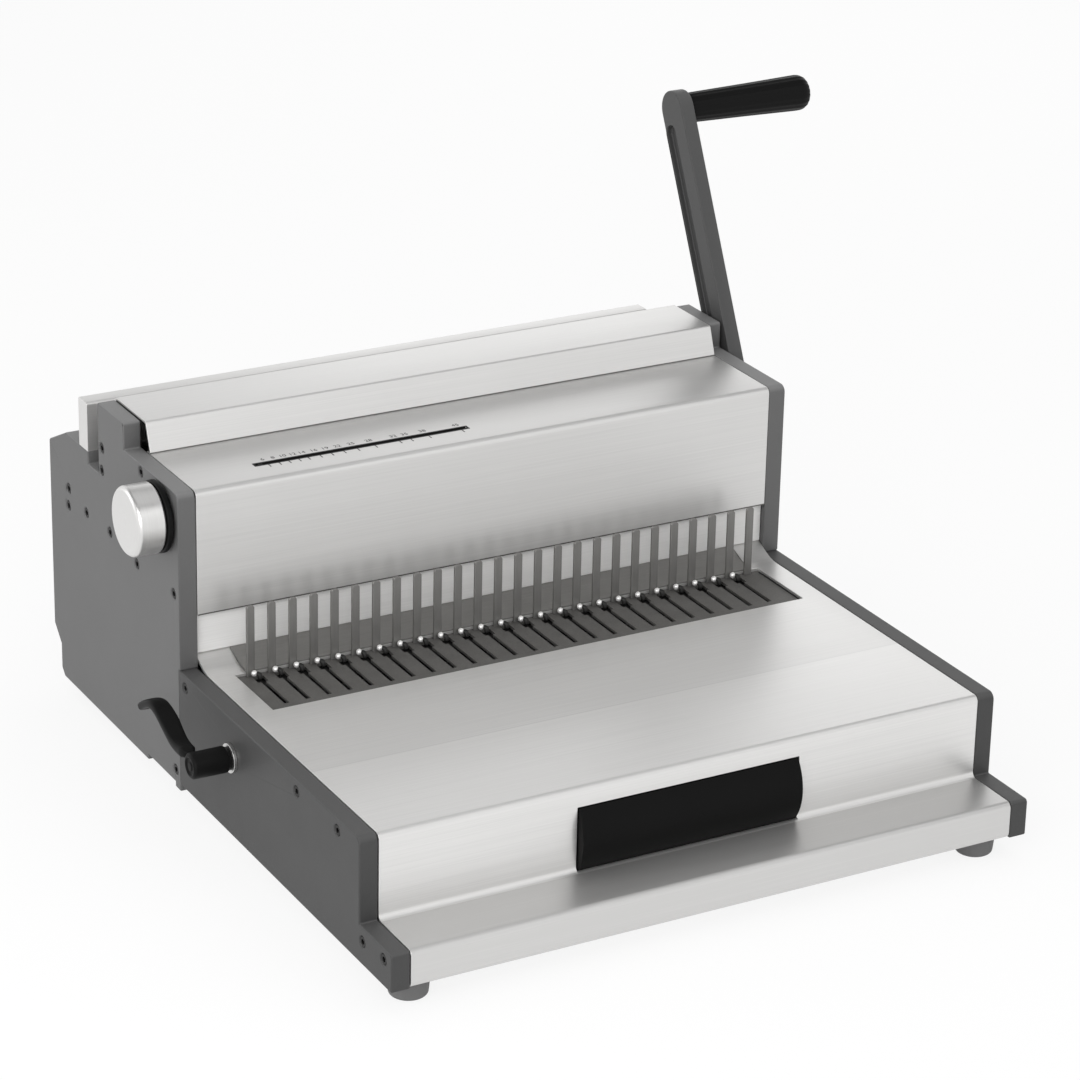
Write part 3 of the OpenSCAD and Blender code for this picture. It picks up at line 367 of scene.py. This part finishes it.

# %% [markdown]
# ## Painted plates
#
# The side plates and the lever carry a powder coat. Powder melts into a skin with a fine orange-peel
# relief and no brush marks. The relief is a noise about as fine as a grain of sand, and a wider noise
# changes the gloss a little where hands polish it. Faces that look up are painted paler, a painted
# highlight for the light that falls on them from above, so the colour also follows how far a face looks up.

# %% The finishes of the plates and the lever
def powder_coat(name, level, rough):
    """Amount = 0.16 peel + 0.13 wear + 0.66 painted_top_light mixes a darker and a lighter grey. The
    painted top light is a painted highlight: it grows from zero to one as the upward part of the normal
    grows from 0.35 to 0.85, and varies with the wear."""
    finish = Finish(name, Metallic=0.0, Specular_IOR_Level=0.42)
    peel = finish.noise(1700.0, 2.0)
    pores = finish.node("TexVoronoi", {"Vector": finish.place, "Scale": 1300.0})
    wear = finish.noise(22.0, 4.0)
    upward = finish.axis("Z", finish.node("TexCoord", out="Normal"))
    # Painted highlight: faces that look up are painted paler, as if lit from above.
    painted_top_light = ((upward - 0.35) * 2.0).at_least(0.0).at_most(1.0) * (wear * 0.5 + 0.75)
    finish.colour(peel * 0.16 + wear * 0.13 + painted_top_light * 0.66, grey(level * 0.86), grey(level * 1.80))
    finish.rough(rough + (wear - 0.5) * 0.16 + (peel - 0.5) * 0.10)
    finish.relief(peel * 0.7 + pores * 0.3, 0.00010, 0.6)
    return finish

plate_grey = powder_coat("plate_powder_coat", 0.120, 0.52)
base_grey = powder_coat("base_powder_coat", 0.046, 0.54)
lever_grey = powder_coat("lever_powder_coat", 0.058, 0.52)
rear_grey = powder_coat("rear_sheet_paint", 0.12, 0.5)
print("paints", len((plate_grey, base_grey, lever_grey, rear_grey)))

# %% [markdown]
# ## Steel, plastic and rubber
#
# The slotted plate, the tines and the hooks are steel with a dark oiled skin: a metal, but a rough one
# with a brown tinge. The grip and the paddle are moulded in black plastic, whose skin copies the fine
# erosion of the mould. The feet are matt rubber, dusty at a fine scale.

# %% The finishes of the small pieces
def oiled_steel(name, level, rough, warm=0.07, metallic=0.8, grain=(900.0, 900.0, 60.0), contrast=1.0):
    """Tone = 0.6 lines + 0.4 stain, spread about its middle by contrast, mixes a darker and a lighter
    brownish grey. The lines run along the axis on which grain is smallest."""
    finish = Finish(name, Metallic=metallic)
    lines = finish.noise(1.0, 3.0, finish.stretched(grain), 0.7)
    stain = finish.noise(90.0, 4.0)
    tone = (lines * 0.6 + stain * 0.4 - 0.5) * contrast + 0.5
    finish.colour(tone, grey(level * 0.72, warm), grey(level * 1.25, warm))
    finish.rough(rough + (lines - 0.5) * 0.2 + (stain - 0.5) * 0.16)
    finish.relief(lines, 0.00003)
    return finish

def moulded(name, level, rough, scale=1500.0, gloss=0.4):
    """A slow smear mixes a darker and a lighter grey and shifts the roughness, over a fine skin."""
    finish = Finish(name, Metallic=0.0, Specular_IOR_Level=gloss)
    skin = finish.noise(scale, 2.0)
    smear = finish.noise(30.0, 3.0)
    finish.colour(smear, grey(level * 0.8), grey(level * 1.3))
    finish.rough(rough + (smear - 0.5) * 0.18)
    finish.relief(skin, 0.00006)
    return finish

plate_steel = oiled_steel("slotted_plate_steel", 0.135, 0.58, metallic=0.5, grain=(800.0, 800.0, 800.0),
                          contrast=2.6)
tine_steel = oiled_steel("tine_steel", 0.25, 0.50, warm=0.05)
web_steel_painted_shade = oiled_steel("web_steel_painted_shade", 0.30, 0.50, warm=0.05, grain=(60.0, 900.0, 900.0))
hook_steel = oiled_steel("hook_steel", 0.016, 0.50, metallic=0.3)
# The hook tips are polished, and their colour is painted near white as a painted highlight.
tip_painted_highlight_steel = oiled_steel("polished_tip_painted_highlight", 0.92, 0.30, warm=0.02, metallic=0.5)
inner_steel = oiled_steel("inner_dark_steel", 0.14, 0.50)
bright_steel = oiled_steel("bright_zinc_steel", 0.62, 0.30, warm=0.02, metallic=0.95)
screw_steel = oiled_steel("blackened_screw_steel", 0.020, 0.45, warm=0.02)
bush_bronze = Finish("sintered_bronze", Metallic=0.9)
bush_bronze.colour(bush_bronze.noise(1200.0, 3.0), (0.30, 0.19, 0.07), (0.50, 0.34, 0.15))
bush_bronze.rough(bush_bronze.noise(900.0) * 0.4 + 0.25)
grip_black = moulded("grip_black_plastic", 0.005, 0.46, gloss=0.10)
drawer_black = moulded("drawer_black_plastic", 0.0045, 0.52, gloss=0.08)
foot_rubber = moulded("foot_grey_rubber", 0.150, 0.72, 900.0)

# %% Give every CAD node its finish
finishes = {
    plate_grey: "left_side_plate right_side_plate",
    base_grey: "left_base_plate right_base_plate",
    rear_grey: "rear_cover",
    cover_silver: "housing_cover head_cap paper_rest",
    deck_silver: "deck_panel",
    recess_painted_light: "recess_panel",
    knob_silver: "selector_knob",
    lever_grey: "lever_arm",
    plate_steel: "slotted_plate",
    tine_steel: "tines",
    hook_steel: "hooks hook_carriage tine_bar",
    inner_steel: "guide_plate die_plate punch_bar punch_racks punch_pinions recess_rail carriage_racks"
                 " rod_blocks opener_pinions spindle_bearing side_stop",
    bright_steel: "tie_bars foot_screws margin_stop_bar guide_rods punch_pins main_shaft lever_screw"
                  " grip_bolt lever_stop_pin carriage_rods opener_shaft opener_washer drawer_tray"
                  " drawer_runners chip_chute bottom_cover",
    screw_steel: "plate_screws_left plate_screws_right selector_spindle",
    bush_bronze: "bar_bushes shaft_bearings opener_bushes",
    grip_black: "lever_grip opener_hub opener_paddle pointer_slide",
    drawer_black: "drawer_front",
    foot_rubber: "feet"}
finish_of = {node: finish.material for finish, nodes in finishes.items() for node in nodes.split()}
for node, thing in frame["nodes"].items():
    thing.data.materials.clear()
    thing.data.materials.append(finish_of[node])
print("finished nodes", len(finish_of))

# %% [markdown]
# ## Broken edges on the body
#
# The plates are milled from 12 mm stock, so their edges are broken by more than a millimetre. The folded
# sheets only lose their burr. The widths below are real sizes, from 0.2 mm on the slotted plate to
# 1.1 mm on a side plate. A wide edge is rounded in more steps.

# %% Dress the plates, covers and steel pieces
edge_widths = {
    "left_side_plate": 0.0011, "right_side_plate": 0.0011, "left_base_plate": 0.0011,
    "right_base_plate": 0.0011, "housing_cover": 0.0003, "head_cap": 0.0003, "recess_panel": 0.0003,
    "deck_panel": 0.0003, "paper_rest": 0.0004, "rear_cover": 0.0003, "drawer_front": 0.0007,
    "lever_arm": 0.0009, "lever_screw": 0.0006, "plate_screws_left": 0.00035,
    "plate_screws_right": 0.00035, "tines": 0.00035, "slotted_plate": 0.0002, "opener_washer": 0.0003,
    "side_stop": 0.0003, "pointer_slide": 0.0002}
wide_edge = 0.001
for node, width in edge_widths.items():
    softened(node, width, finish_of[node], steps=4 if width > wide_edge else 2)
print("softened", len(edge_widths))

# %% [markdown]
# ## Grip of the punch lever
#
# The grip is a moulded sleeve that turns on its bolt. It swells towards its free end, where it is
# domed. Its skin has shallow flutes that stop it from slipping: the radius of the turned profile is
# changed by a cosine of the angle.

# %% Make the grip
def sleeve_profile(length, thin, thick, bore):
    """(distance, radius) pairs: a rim beside the lever, a swelling body and a domed end."""
    rim, dome_start, dome_drop, swell = 0.0012, 0.004, 0.006, 0.45
    corners = [(0.0, bore), (0.0, thin - rim), (rim, thin), (length / 2, thin + (thick - thin) * swell),
               (length - dome_start, thick), (length, thick - dome_drop), (length, 0.0)]
    return soft_corners(corners, 0.006, 8)

low, high = span("lever_grip")
centre = (low + high) / 2
grip_length, grip_r = high[0] - low[0], (high[2] - low[2]) / 2
rim_r, bore_r, flutes, flute_depth = 0.01025, 0.0052, 18, 0.00025
sleeve = turned(sleeve_profile(grip_length, rim_r, grip_r, bore_r), (low[0], *centre[1:]), (1, 0, 0),
                144, flutes, flute_depth)
make_piece("grip_sleeve", sleeve, grip_black, "grip", "lever_grip")
print("grip length", grip_length)

# %% [markdown]
# ## Selector knob and feet
#
# The knob is turned from bar: a plain cylinder with soft edges and a face with a shallow dish. A black
# collar of moulded plastic sits between it and the plate, and it is painted shade too: it stands where
# the knob's shadow falls on the plate. The feet are moulded cones with a flat ring that stands on the
# desk. All are turned profiles.

# %% Make the knob and its collar
low, high = span("selector_knob")
knob_r, knob_l = (high[2] - low[2]) / 2, high[0] - low[0]
at_plate = (high[0], *((low + high) / 2)[1:])
collar_l, spindle_r = 0.0040, 0.004
metal_r, knob_bevel, dish = knob_r - 0.0006, 0.0016, 0.0004
knob_corners = [(collar_l, spindle_r), (collar_l, metal_r - knob_bevel), (collar_l + 0.0014, metal_r),
                (collar_l + 0.0022, metal_r), (knob_l - 0.0022, metal_r),
                (knob_l - dish, metal_r - knob_bevel), (knob_l, metal_r - 0.0032),
                (knob_l - dish / 2, metal_r - 0.0044), (knob_l - dish, 0.0)]
make_piece("knob_turned", turned(soft_corners(knob_corners, 0.0012, 6), at_plate, (-1, 0, 0), 144),
           knob_silver, "selector", "selector_knob")

# Painted shade: the black collar stands where the knob's shadow falls on the plate.
collar_end, collar_bevel = collar_l - 0.0001, 0.0008
collar_corners = [(0.0, spindle_r), (0.0, metal_r), (0.0006, knob_r), (collar_l - collar_bevel, knob_r),
                  (collar_end, knob_r - collar_bevel), (collar_end, spindle_r), (0.0, spindle_r)]
make_piece("knob_collar_painted_shade", turned(soft_corners(collar_corners, 0.0004, 4), at_plate, (-1, 0, 0), 144),
           grip_black, "selector")
print("knob radius", knob_r)

# %% Make the feet
low, high = span("feet")
foot_top, foot_r, screw_r, rear_inset = high[2], 0.013, 0.0046, 0.004
sole_r, heel_r = foot_r - 0.0026, foot_r - 0.0014
foot_corners = [(0.0, screw_r), (0.0, sole_r), (0.0012, heel_r), (foot_top - 0.0035, foot_r - 0.0003),
                (foot_top - 0.0028, foot_r), (foot_top, foot_r), (foot_top, 0.0)]
foot_profile = soft_corners(foot_corners, 0.0008, 4)
left, right, front, back = low[0] + foot_r, high[0] - foot_r, low[1] + foot_r, high[1] - foot_r
foot_places = [(left, front), (right, front), (left + rear_inset, back), (right - rear_inset, back)]
four_feet = np.stack([turned(foot_profile, (x, y, 0.0), (0, 0, 1), 72) for x, y in foot_places])
make_piece("rubber_feet", four_feet, foot_rubber, "base", "feet")
print("foot height", foot_top)

# %% [markdown]
# ## Hooks of the comb opener
#
# Each hook is a small black post that rises from its slot and leans towards its tine, with a polished
# round tip that slides inside a ring of the comb. The tip's colour is painted near white, a painted
# highlight. The post is a circle carried along a short curve, and the tip is a turned half circle. All
# hooks are one array, because a grid may hold many copies.

# %% Make the hooks
def swept(path, wide, thick, columns=12, square=1.0):
    """Carries a rounded section along points path (rows, 3). A point of it is wide * c^square along the
    machine and thick * s^square square to that and to the path, where c and s are the cosine and sine of
    its angle with their signs kept. A square below one makes the section boxier."""
    way = np.gradient(path, axis=0)
    way /= np.linalg.norm(way, axis=1, keepdims=True)
    up = np.cross(way, (1.0, 0.0, 0.0))
    up /= np.linalg.norm(up, axis=1, keepdims=True)
    flat = np.cross(up, way)
    angle = np.linspace(0, 2 * np.pi, columns, endpoint=False)
    c, s = (np.sign(wave) * np.abs(wave) ** square for wave in (np.cos(angle), np.sin(angle)))
    wide, thick = (size[:, None, None] for size in (wide, thick))
    return path[:, None] + wide * c[None, :, None] * flat[:, None] + thick * s[None, :, None] * up[:, None]

def ball(centre, size, rows=9, columns=14):
    """A half circle, (-size cos t, size sin t), turned round the upright axis."""
    t = np.linspace(0, np.pi, rows)
    return turned(np.stack([-size * np.cos(t), size * np.sin(t)], axis=1), centre, (0, 0, 1), columns)

tines_low, tines_high = span("tines")
slots_low, slots_high = span("slotted_plate")
hooks_low, hooks_high = span("hooks")
pitch, hook_count, hook_half, tip_r = 0.0142875, 25, 0.0011, 0.0020
deck_top = slots_high[2] + 0.002
first_hook = np.array((hooks_low[0] + hook_half, tines_low[1], deck_top))
each_hook = (first_hook + np.arange(hook_count)[:, None] * (pitch, 0.0, 0.0))[:, None, None]
tip_at = (-0.0026, -0.0024, 0.0008)
lean_back = [(0.0, -0.0052, -0.0040), (0.0, -0.0050, -0.0004), (-0.0004, -0.0042, 0.0008), tip_at]
post_path = soft_corners(lean_back, 0.0016, 5)
post_r = np.interp(np.linspace(0, 1, len(post_path)), [0.0, 0.6, 1.0], [0.00150, 0.00165, 0.0011])
post_r[[0, -1]] = 0.0
make_piece("hook_posts", each_hook + swept(post_path, post_r, post_r), hook_steel, "hook_slide", "hooks")
make_piece("hook_tips", each_hook + ball(tip_at, tip_r), tip_painted_highlight_steel, "hook_slide")
print("hooks", hook_count, "first at", first_hook)

# %% [markdown]
# ## Paddle of the comb opener
#
# The opener is worked by a moulded paddle on a short hub. The paddle is an S: it leaves the hub, swells
# to the width of a thumb and thins to a rounded tip. Its section is a rounded box that changes its size
# along the path. The hub is turned, with a sunk ring round the head of its screw.

# %% Make the hub of the paddle
low, high = span("opener_hub")
hub_centre, hub_r, hub_l = (low + high) / 2, (high[2] - low[2]) / 2, high[0] - low[0]
inner_r, ring_floor, head_top = hub_r - 0.0010, hub_l - 0.0009, hub_l - 0.0002
hub_corners = [(0.0, 0.004), (0.0, inner_r), (0.0010, inner_r), (0.0022, hub_r), (hub_l - 0.0012, hub_r),
               (hub_l, hub_r - 0.0014), (hub_l, hub_r - 0.0026), (ring_floor, hub_r - 0.0030),
               (ring_floor, 0.0030), (head_top, 0.0026), (head_top, 0.0)]
at_base = (high[0], *hub_centre[1:])
make_piece("hub_turned", turned(soft_corners(hub_corners, 0.0006, 5), at_base, (-1, 0, 0)),
           grip_black, "opener", "opener_hub")
print("hub radius", hub_r)

# %% Make the paddle
paddle_low, paddle_high = span("opener_paddle")
paddle_reach, tip_share, root_half, clearance = 0.080, 0.06, 0.0046, 0.0002
s_bend = paddle_reach * np.array([(0.04, 0.045), (0.31, 0.02), (0.46, 0.078), (0.66, 0.178), (0.78, 0.182),
                                  (0.93, 0.11), (1.0, 0.05)])
spine = soft_corners(s_bend, 0.012, 9)
along = np.concatenate([[0.0], np.cumsum(np.linalg.norm(np.diff(spine, axis=0), axis=1))])
along /= along[-1]
close = np.sqrt(1 - np.clip((along - 1 + tip_share) / tip_share, 0, 1) ** 2)
half_wide = np.interp(along, [0, 0.12, 0.5, 0.8, 1.0], [root_half, 0.0050, 0.0062, 0.0056, 0.0046]) * close
half_thick = np.interp(along, [0, 0.12, 0.5, 1.0], [0.0040, 0.0036, 0.0031, 0.0027]) * close
half_wide[0] = half_thick[0] = 0.0
spine_x = paddle_low[0] + np.maximum(half_wide, root_half) + clearance
spine_points = np.column_stack([spine_x, hub_centre[1] + spine[:, 0], hub_centre[2] + spine[:, 1]])
make_piece("paddle_moulded", swept(spine_points, half_wide, half_thick, 36, 0.62),
           grip_black, "opener", "opener_paddle")
print("paddle width", round(float(half_wide.max()) * 2000, 1), "mm")

# %% [markdown]
# ## Strips of painted shade behind the tines and at two edges
#
# Behind the tines a strip of steel lies on the rising deck as painted shade: it makes the dark band
# between them, below the bright recess. It is a profile of a few points, given a thickness and carried
# along the machine. Painted shade also draws two dark lines, at the gap at the right end of the slotted
# plate and along the lower edge of the housing cover, and each is a bar made the same way.

# %% Make the strips of painted shade
def strip(profile, low_x, high_x):
    """A closed profile of (y, z) points carried from low_x to high_x, with both ends closed."""
    profile = np.asarray(profile, dtype=float)
    middle = np.repeat(profile.mean(axis=0, keepdims=True), len(profile), axis=0)
    rows = [(low_x, middle), (low_x, profile), (high_x, profile), (high_x, middle)]
    return np.stack([np.column_stack([np.full(len(profile), x), points]) for x, points in rows])

def bar(low_y, high_y, low_z, high_z):
    """The four corners of an upright rectangle as a profile."""
    return [(low_y, low_z), (low_y, high_z), (high_y, high_z), (high_y, low_z)]

recess_low, recess_high = span("recess_panel")
cover_low, cover_high = span("housing_cover")
rise = np.tan(np.radians(24.0))
rise_y, web_end = cover_low[1] - 0.012, recess_low[1] - 0.0002
bend_half, bend_lift, web_gap, web_thick = 0.0045, 0.0008, 0.0001, 0.0010
web_y = np.array((tines_high[1], rise_y - bend_half, rise_y, rise_y + bend_half, web_end))
web_z = deck_top + web_gap + np.array((0.0, 0.0, bend_lift, bend_half * rise, (web_end - rise_y) * rise))
web_under, web_over = np.column_stack([web_y, web_z]), np.column_stack([web_y, web_z + web_thick])
# Painted shade: this steel strip makes the dark band between the tines.
make_piece("tine_web_painted_shade", strip(np.vstack([web_under, web_over[::-1]]), tines_low[0], tines_high[0]),
           web_steel_painted_shade, "base")

# A black film, used for print and for painted shade.
black_print_and_painted_shade = moulded("black_print_and_painted_shade", 0.006, 0.5, gloss=0.1)
opening_front, opening_end, plate_top = -0.0340, tines_high[0] + 0.0068, slots_high[2]
# Painted shade: a black film on the slotted plate stands for the shade in the gap at its right end.
gap_profile = bar(opening_front, tines_low[1], plate_top + 0.00002, plate_top + 0.00008)
make_piece("plate_end_painted_shade", strip(gap_profile, opening_end - 0.0017, opening_end - 0.0001),
           black_print_and_painted_shade, "base")

# Painted shade: a dark strip along the lower edge of the housing cover stands for the shade under its lip.
lip_shade_z, lip_shade_y, end_gap = cover_low[2], cover_low[1], 0.0003
lip_shade_profile = bar(lip_shade_y - 0.00006, lip_shade_y + 0.0012, lip_shade_z - 0.0002, lip_shade_z + 0.0006)
make_piece("cover_lip_painted_shade", strip(lip_shade_profile, cover_low[0] + end_gap, cover_high[0] - end_gap),
           inner_steel, "base")
print("strip rises", round(float(web_z[-1] - web_z[0]) * 1000, 2), "mm", "hem at", lip_shade_z)

# %% [markdown]
# ## Comb size scale
#
# A pointer runs in a slot in the housing top, and a printed scale beside it gives comb sizes in
# millimetres. Print is a flat film, so each tick is a thin bar a few hundredths of a millimetre high on
# the sheet, and the numbers are text turned into a mesh.

# %% Print the ticks and the border of the slot
ink = moulded("scale_ink", 0.02, 0.5)
top, film = cover_high[2], 0.00006
slot_x, slot_y, slot_length, slot_half, border = -0.1932, 0.0645, 0.146, 0.0012, 0.0015
sizes = (6, 8, 10, 12, 14, 16, 19, 22, 25, 28, 32, 35, 38, 45)
marks_mm = (7.5, 14.6, 21.2, 28.0, 34.3, 42.5, 50.3, 58.8, 68.3, 80.5, 97.6, 105.5, 118.1, 141.6)
marks = slot_x + 0.001 * np.array(marks_mm)
tick_half, tick_start, tick_end = 0.00035, 0.0021, 0.0066

def film_bars(low_x, high_x, low_y, high_y):
    """Thin flat bars on the housing top, one for each entry of the four arrays."""
    x0, x1, y0, y1 = np.broadcast_arrays(low_x, high_x, low_y, high_y)
    corners = np.stack([np.stack(pair, -1) for pair in ((x0, y0), (x1, y0), (x1, y1), (x0, y1))], 1)
    middle = corners.mean(axis=1, keepdims=True).repeat(4, axis=1)

    def level(points, z):
        return np.concatenate([points, np.full(points.shape[:2] + (1,), z)], axis=2)

    under, over = top + film / 4, top + film
    return np.stack([level(middle, under), level(corners, under), level(corners, over),
                     level(middle, over)], axis=1)

make_piece("scale_ticks", film_bars(marks - tick_half, marks + tick_half, slot_y - tick_end,
                                    slot_y - tick_start), ink, "base")
border_end = slot_length + border
border_bars = film_bars(slot_x + np.array((-border, -border, -border, slot_length)),
                        slot_x + np.array((border_end, border_end, 0.0, border_end)),
                        slot_y + np.array((-slot_half - border, slot_half, -slot_half, -slot_half)),
                        slot_y + np.array((-slot_half, slot_half + border, slot_half, slot_half)))
make_piece("slot_border", border_bars, black_print_and_painted_shade, "base")
wall_y = slot_y + slot_half
wall_profile = bar(wall_y - 0.00012, wall_y - 0.00002, top - 0.0017, top + film)
make_piece("slot_wall", strip(wall_profile, slot_x, slot_x + slot_length), black_print_and_painted_shade, "base")
print("scale marks", len(marks))

# %% Print the numbers
def printed(word, x, y, size):
    """A number as a thin mesh on the housing top, centred on x and standing on y."""
    letters = bpy.data.curves.new("size_" + word, "FONT")
    letters.body, letters.size, letters.align_x = word, size, "CENTER"
    letters.extrude = film / 3
    draft = bpy.data.objects.new("size_" + word, letters)
    bpy.context.scene.collection.objects.link(draft)
    shape = bpy.data.meshes.new_from_object(draft.evaluated_get(bpy.context.evaluated_depsgraph_get()))
    bpy.data.objects.remove(draft)
    points = np.empty(len(shape.vertices) * 3)
    shape.vertices.foreach_get("co", points)
    shape.vertices.foreach_set("co", (points.reshape(-1, 3) + (x, y, top + film / 2)).ravel())
    shape.materials.clear()
    shape.materials.append(ink.material)
    return shape

number_y, number_height = slot_y + 0.0050, 0.0050
bpy.context.view_layer.update()
for size, x in zip(sizes, marks):
    add_piece("scale_number_%02d" % size, printed(str(size), x, number_y, number_height), "base")
print("scale numbers", len(sizes))

# %% [markdown]
# ## Floor and light
#
# The machine stands on a plain pale floor that runs into a wall of light, as on a photographer's
# table. Large soft lamps and a pale room give long gentle reflections on brushed metal. The background
# is white by the colour that the camera sees, also in the metal, and not by more light. The floor mixes
# that white with its own shading, so it keeps the soft shadow under the machine. The white grows darker
# towards the ceiling, which gives the folds of the covers their dark edges.

# %% Tell the white background from the light
def seen_directly(tree):
    """One for rays that come from the camera, or from it by way of a mirror or glass, else zero."""
    path = tree.nodes.new("ShaderNodeLightPath")
    total = path.outputs["Is Camera Ray"]
    for kind in ("Is Glossy Ray", "Is Transmission Ray"):
        either = tree.nodes.new("ShaderNodeMath")
        either.operation = "MAXIMUM"
        tree.links.new(total, either.inputs[0])
        tree.links.new(path.outputs[kind], either.inputs[1])
        total = either.outputs[0]
    return total

# %% Lay the floor
table_half, glow_share = 6, 0.84
floor_mesh = bpy.data.meshes.new("table")
table_corners = [(x * table_half, y * table_half, 0) for x, y in ((-1, -1), (1, -1), (1, 1), (-1, 1))]
floor_mesh.from_pydata(table_corners, [], [(0, 1, 2, 3)])
table = bpy.data.objects.new("table", floor_mesh)
bpy.context.scene.collection.objects.link(table)
table_finish = Finish("pale_table", Base_Color=(0.96, 0.96, 0.96, 1), Roughness=0.9, Specular_IOR_Level=0.1)
floor_mesh.materials.append(table_finish.material)

paper = table_finish.tree
glow = paper.nodes.new("ShaderNodeEmission")
share = paper.nodes.new("ShaderNodeMath")
share.operation, share.inputs[1].default_value = "MULTIPLY", glow_share
both = paper.nodes.new("ShaderNodeMixShader")
paper.links.new(seen_directly(paper), share.inputs[0])
paper.links.new(share.outputs[0], both.inputs[0])
paper.links.new(table_finish.shader.outputs[0], both.inputs[1])
paper.links.new(glow.outputs[0], both.inputs[2])
paper.links.new(both.outputs[0], paper.nodes["Material Output"].inputs["Surface"])
print("floor", 2 * table_half, "m wide")

# %% Fill the room with light
studio = bpy.data.worlds.new("studio")
bpy.context.scene.world = studio
studio.use_nodes = True
nodes, links = studio.node_tree.nodes, studio.node_tree.links
room = nodes["Background"]
room.inputs["Color"].default_value = (1.0, 1.0, 1.0, 1.0)
room.inputs["Strength"].default_value = 0.64
white = nodes.new("ShaderNodeBackground")
white.inputs["Strength"].default_value = 1.0
heading, height = nodes.new("ShaderNodeTexCoord"), nodes.new("ShaderNodeSeparateXYZ")
ceiling = nodes.new("ShaderNodeMapRange")
ceiling.interpolation_type = "SMOOTHSTEP"
for key, value in {"From Min": 0.46, "From Max": 0.76, "To Min": 1.0, "To Max": 0.25}.items():
    ceiling.inputs[key].default_value = value
links.new(heading.outputs["Generated"], height.inputs[0])
links.new(height.outputs["Z"], ceiling.inputs["Value"])
links.new(ceiling.outputs[0], white.inputs["Color"])
either = nodes.new("ShaderNodeMixShader")
links.new(seen_directly(studio.node_tree), either.inputs[0])
links.new(room.outputs[0], either.inputs[1])
links.new(white.outputs[0], either.inputs[2])
links.new(either.outputs[0], nodes["World Output"].inputs["Surface"])
print("room strength", round(room.inputs["Strength"].default_value, 2))

# %% Hang the lamps
def soft_lamp(name, place, target, size, watts):
    """A rectangular area lamp at place that looks at target."""
    lamp = bpy.data.lights.new(name, "AREA")
    lamp.shape, lamp.size, lamp.size_y, lamp.energy = "RECTANGLE", size[0], size[1], watts
    holder = bpy.data.objects.new(name, lamp)
    way = np.array(place) - np.array(target)
    holder.location = place
    holder.rotation_euler = (np.arctan2(np.hypot(way[0], way[1]), way[2]), 0.0, np.arctan2(way[0], -way[1]))
    bpy.context.scene.collection.objects.link(holder)

soft_lamp("overhead", (0.3, 0.2, 2.6), (0.0, 0.0, 0.1), (2.4, 2.0), 7)
soft_lamp("front_top", (0.5, -0.9, 1.25), (0.0, -0.1, 0.1), (1.6, 0.4), 2)
soft_lamp("front_left", (-1.0, -1.0, 0.75), (-0.15, -0.1, 0.12), (1.1, 0.9), 9.5)
soft_lamp("left_back", (-1.5, 0.9, 0.7), (-0.2, 0.1, 0.1), (1.2, 1.0), 4)
soft_lamp("back_right", (1.3, 1.5, 0.8), (0.1, 0.0, 0.1), (1.6, 1.0), 2.6)
print("lamps", len(bpy.data.lights))

# %% [markdown]
# ## Finish
#
# The view is set to the Standard transform and the scene is brought up to date.

# %% Set the view and finish
bpy.context.scene.view_settings.view_transform = "Standard"
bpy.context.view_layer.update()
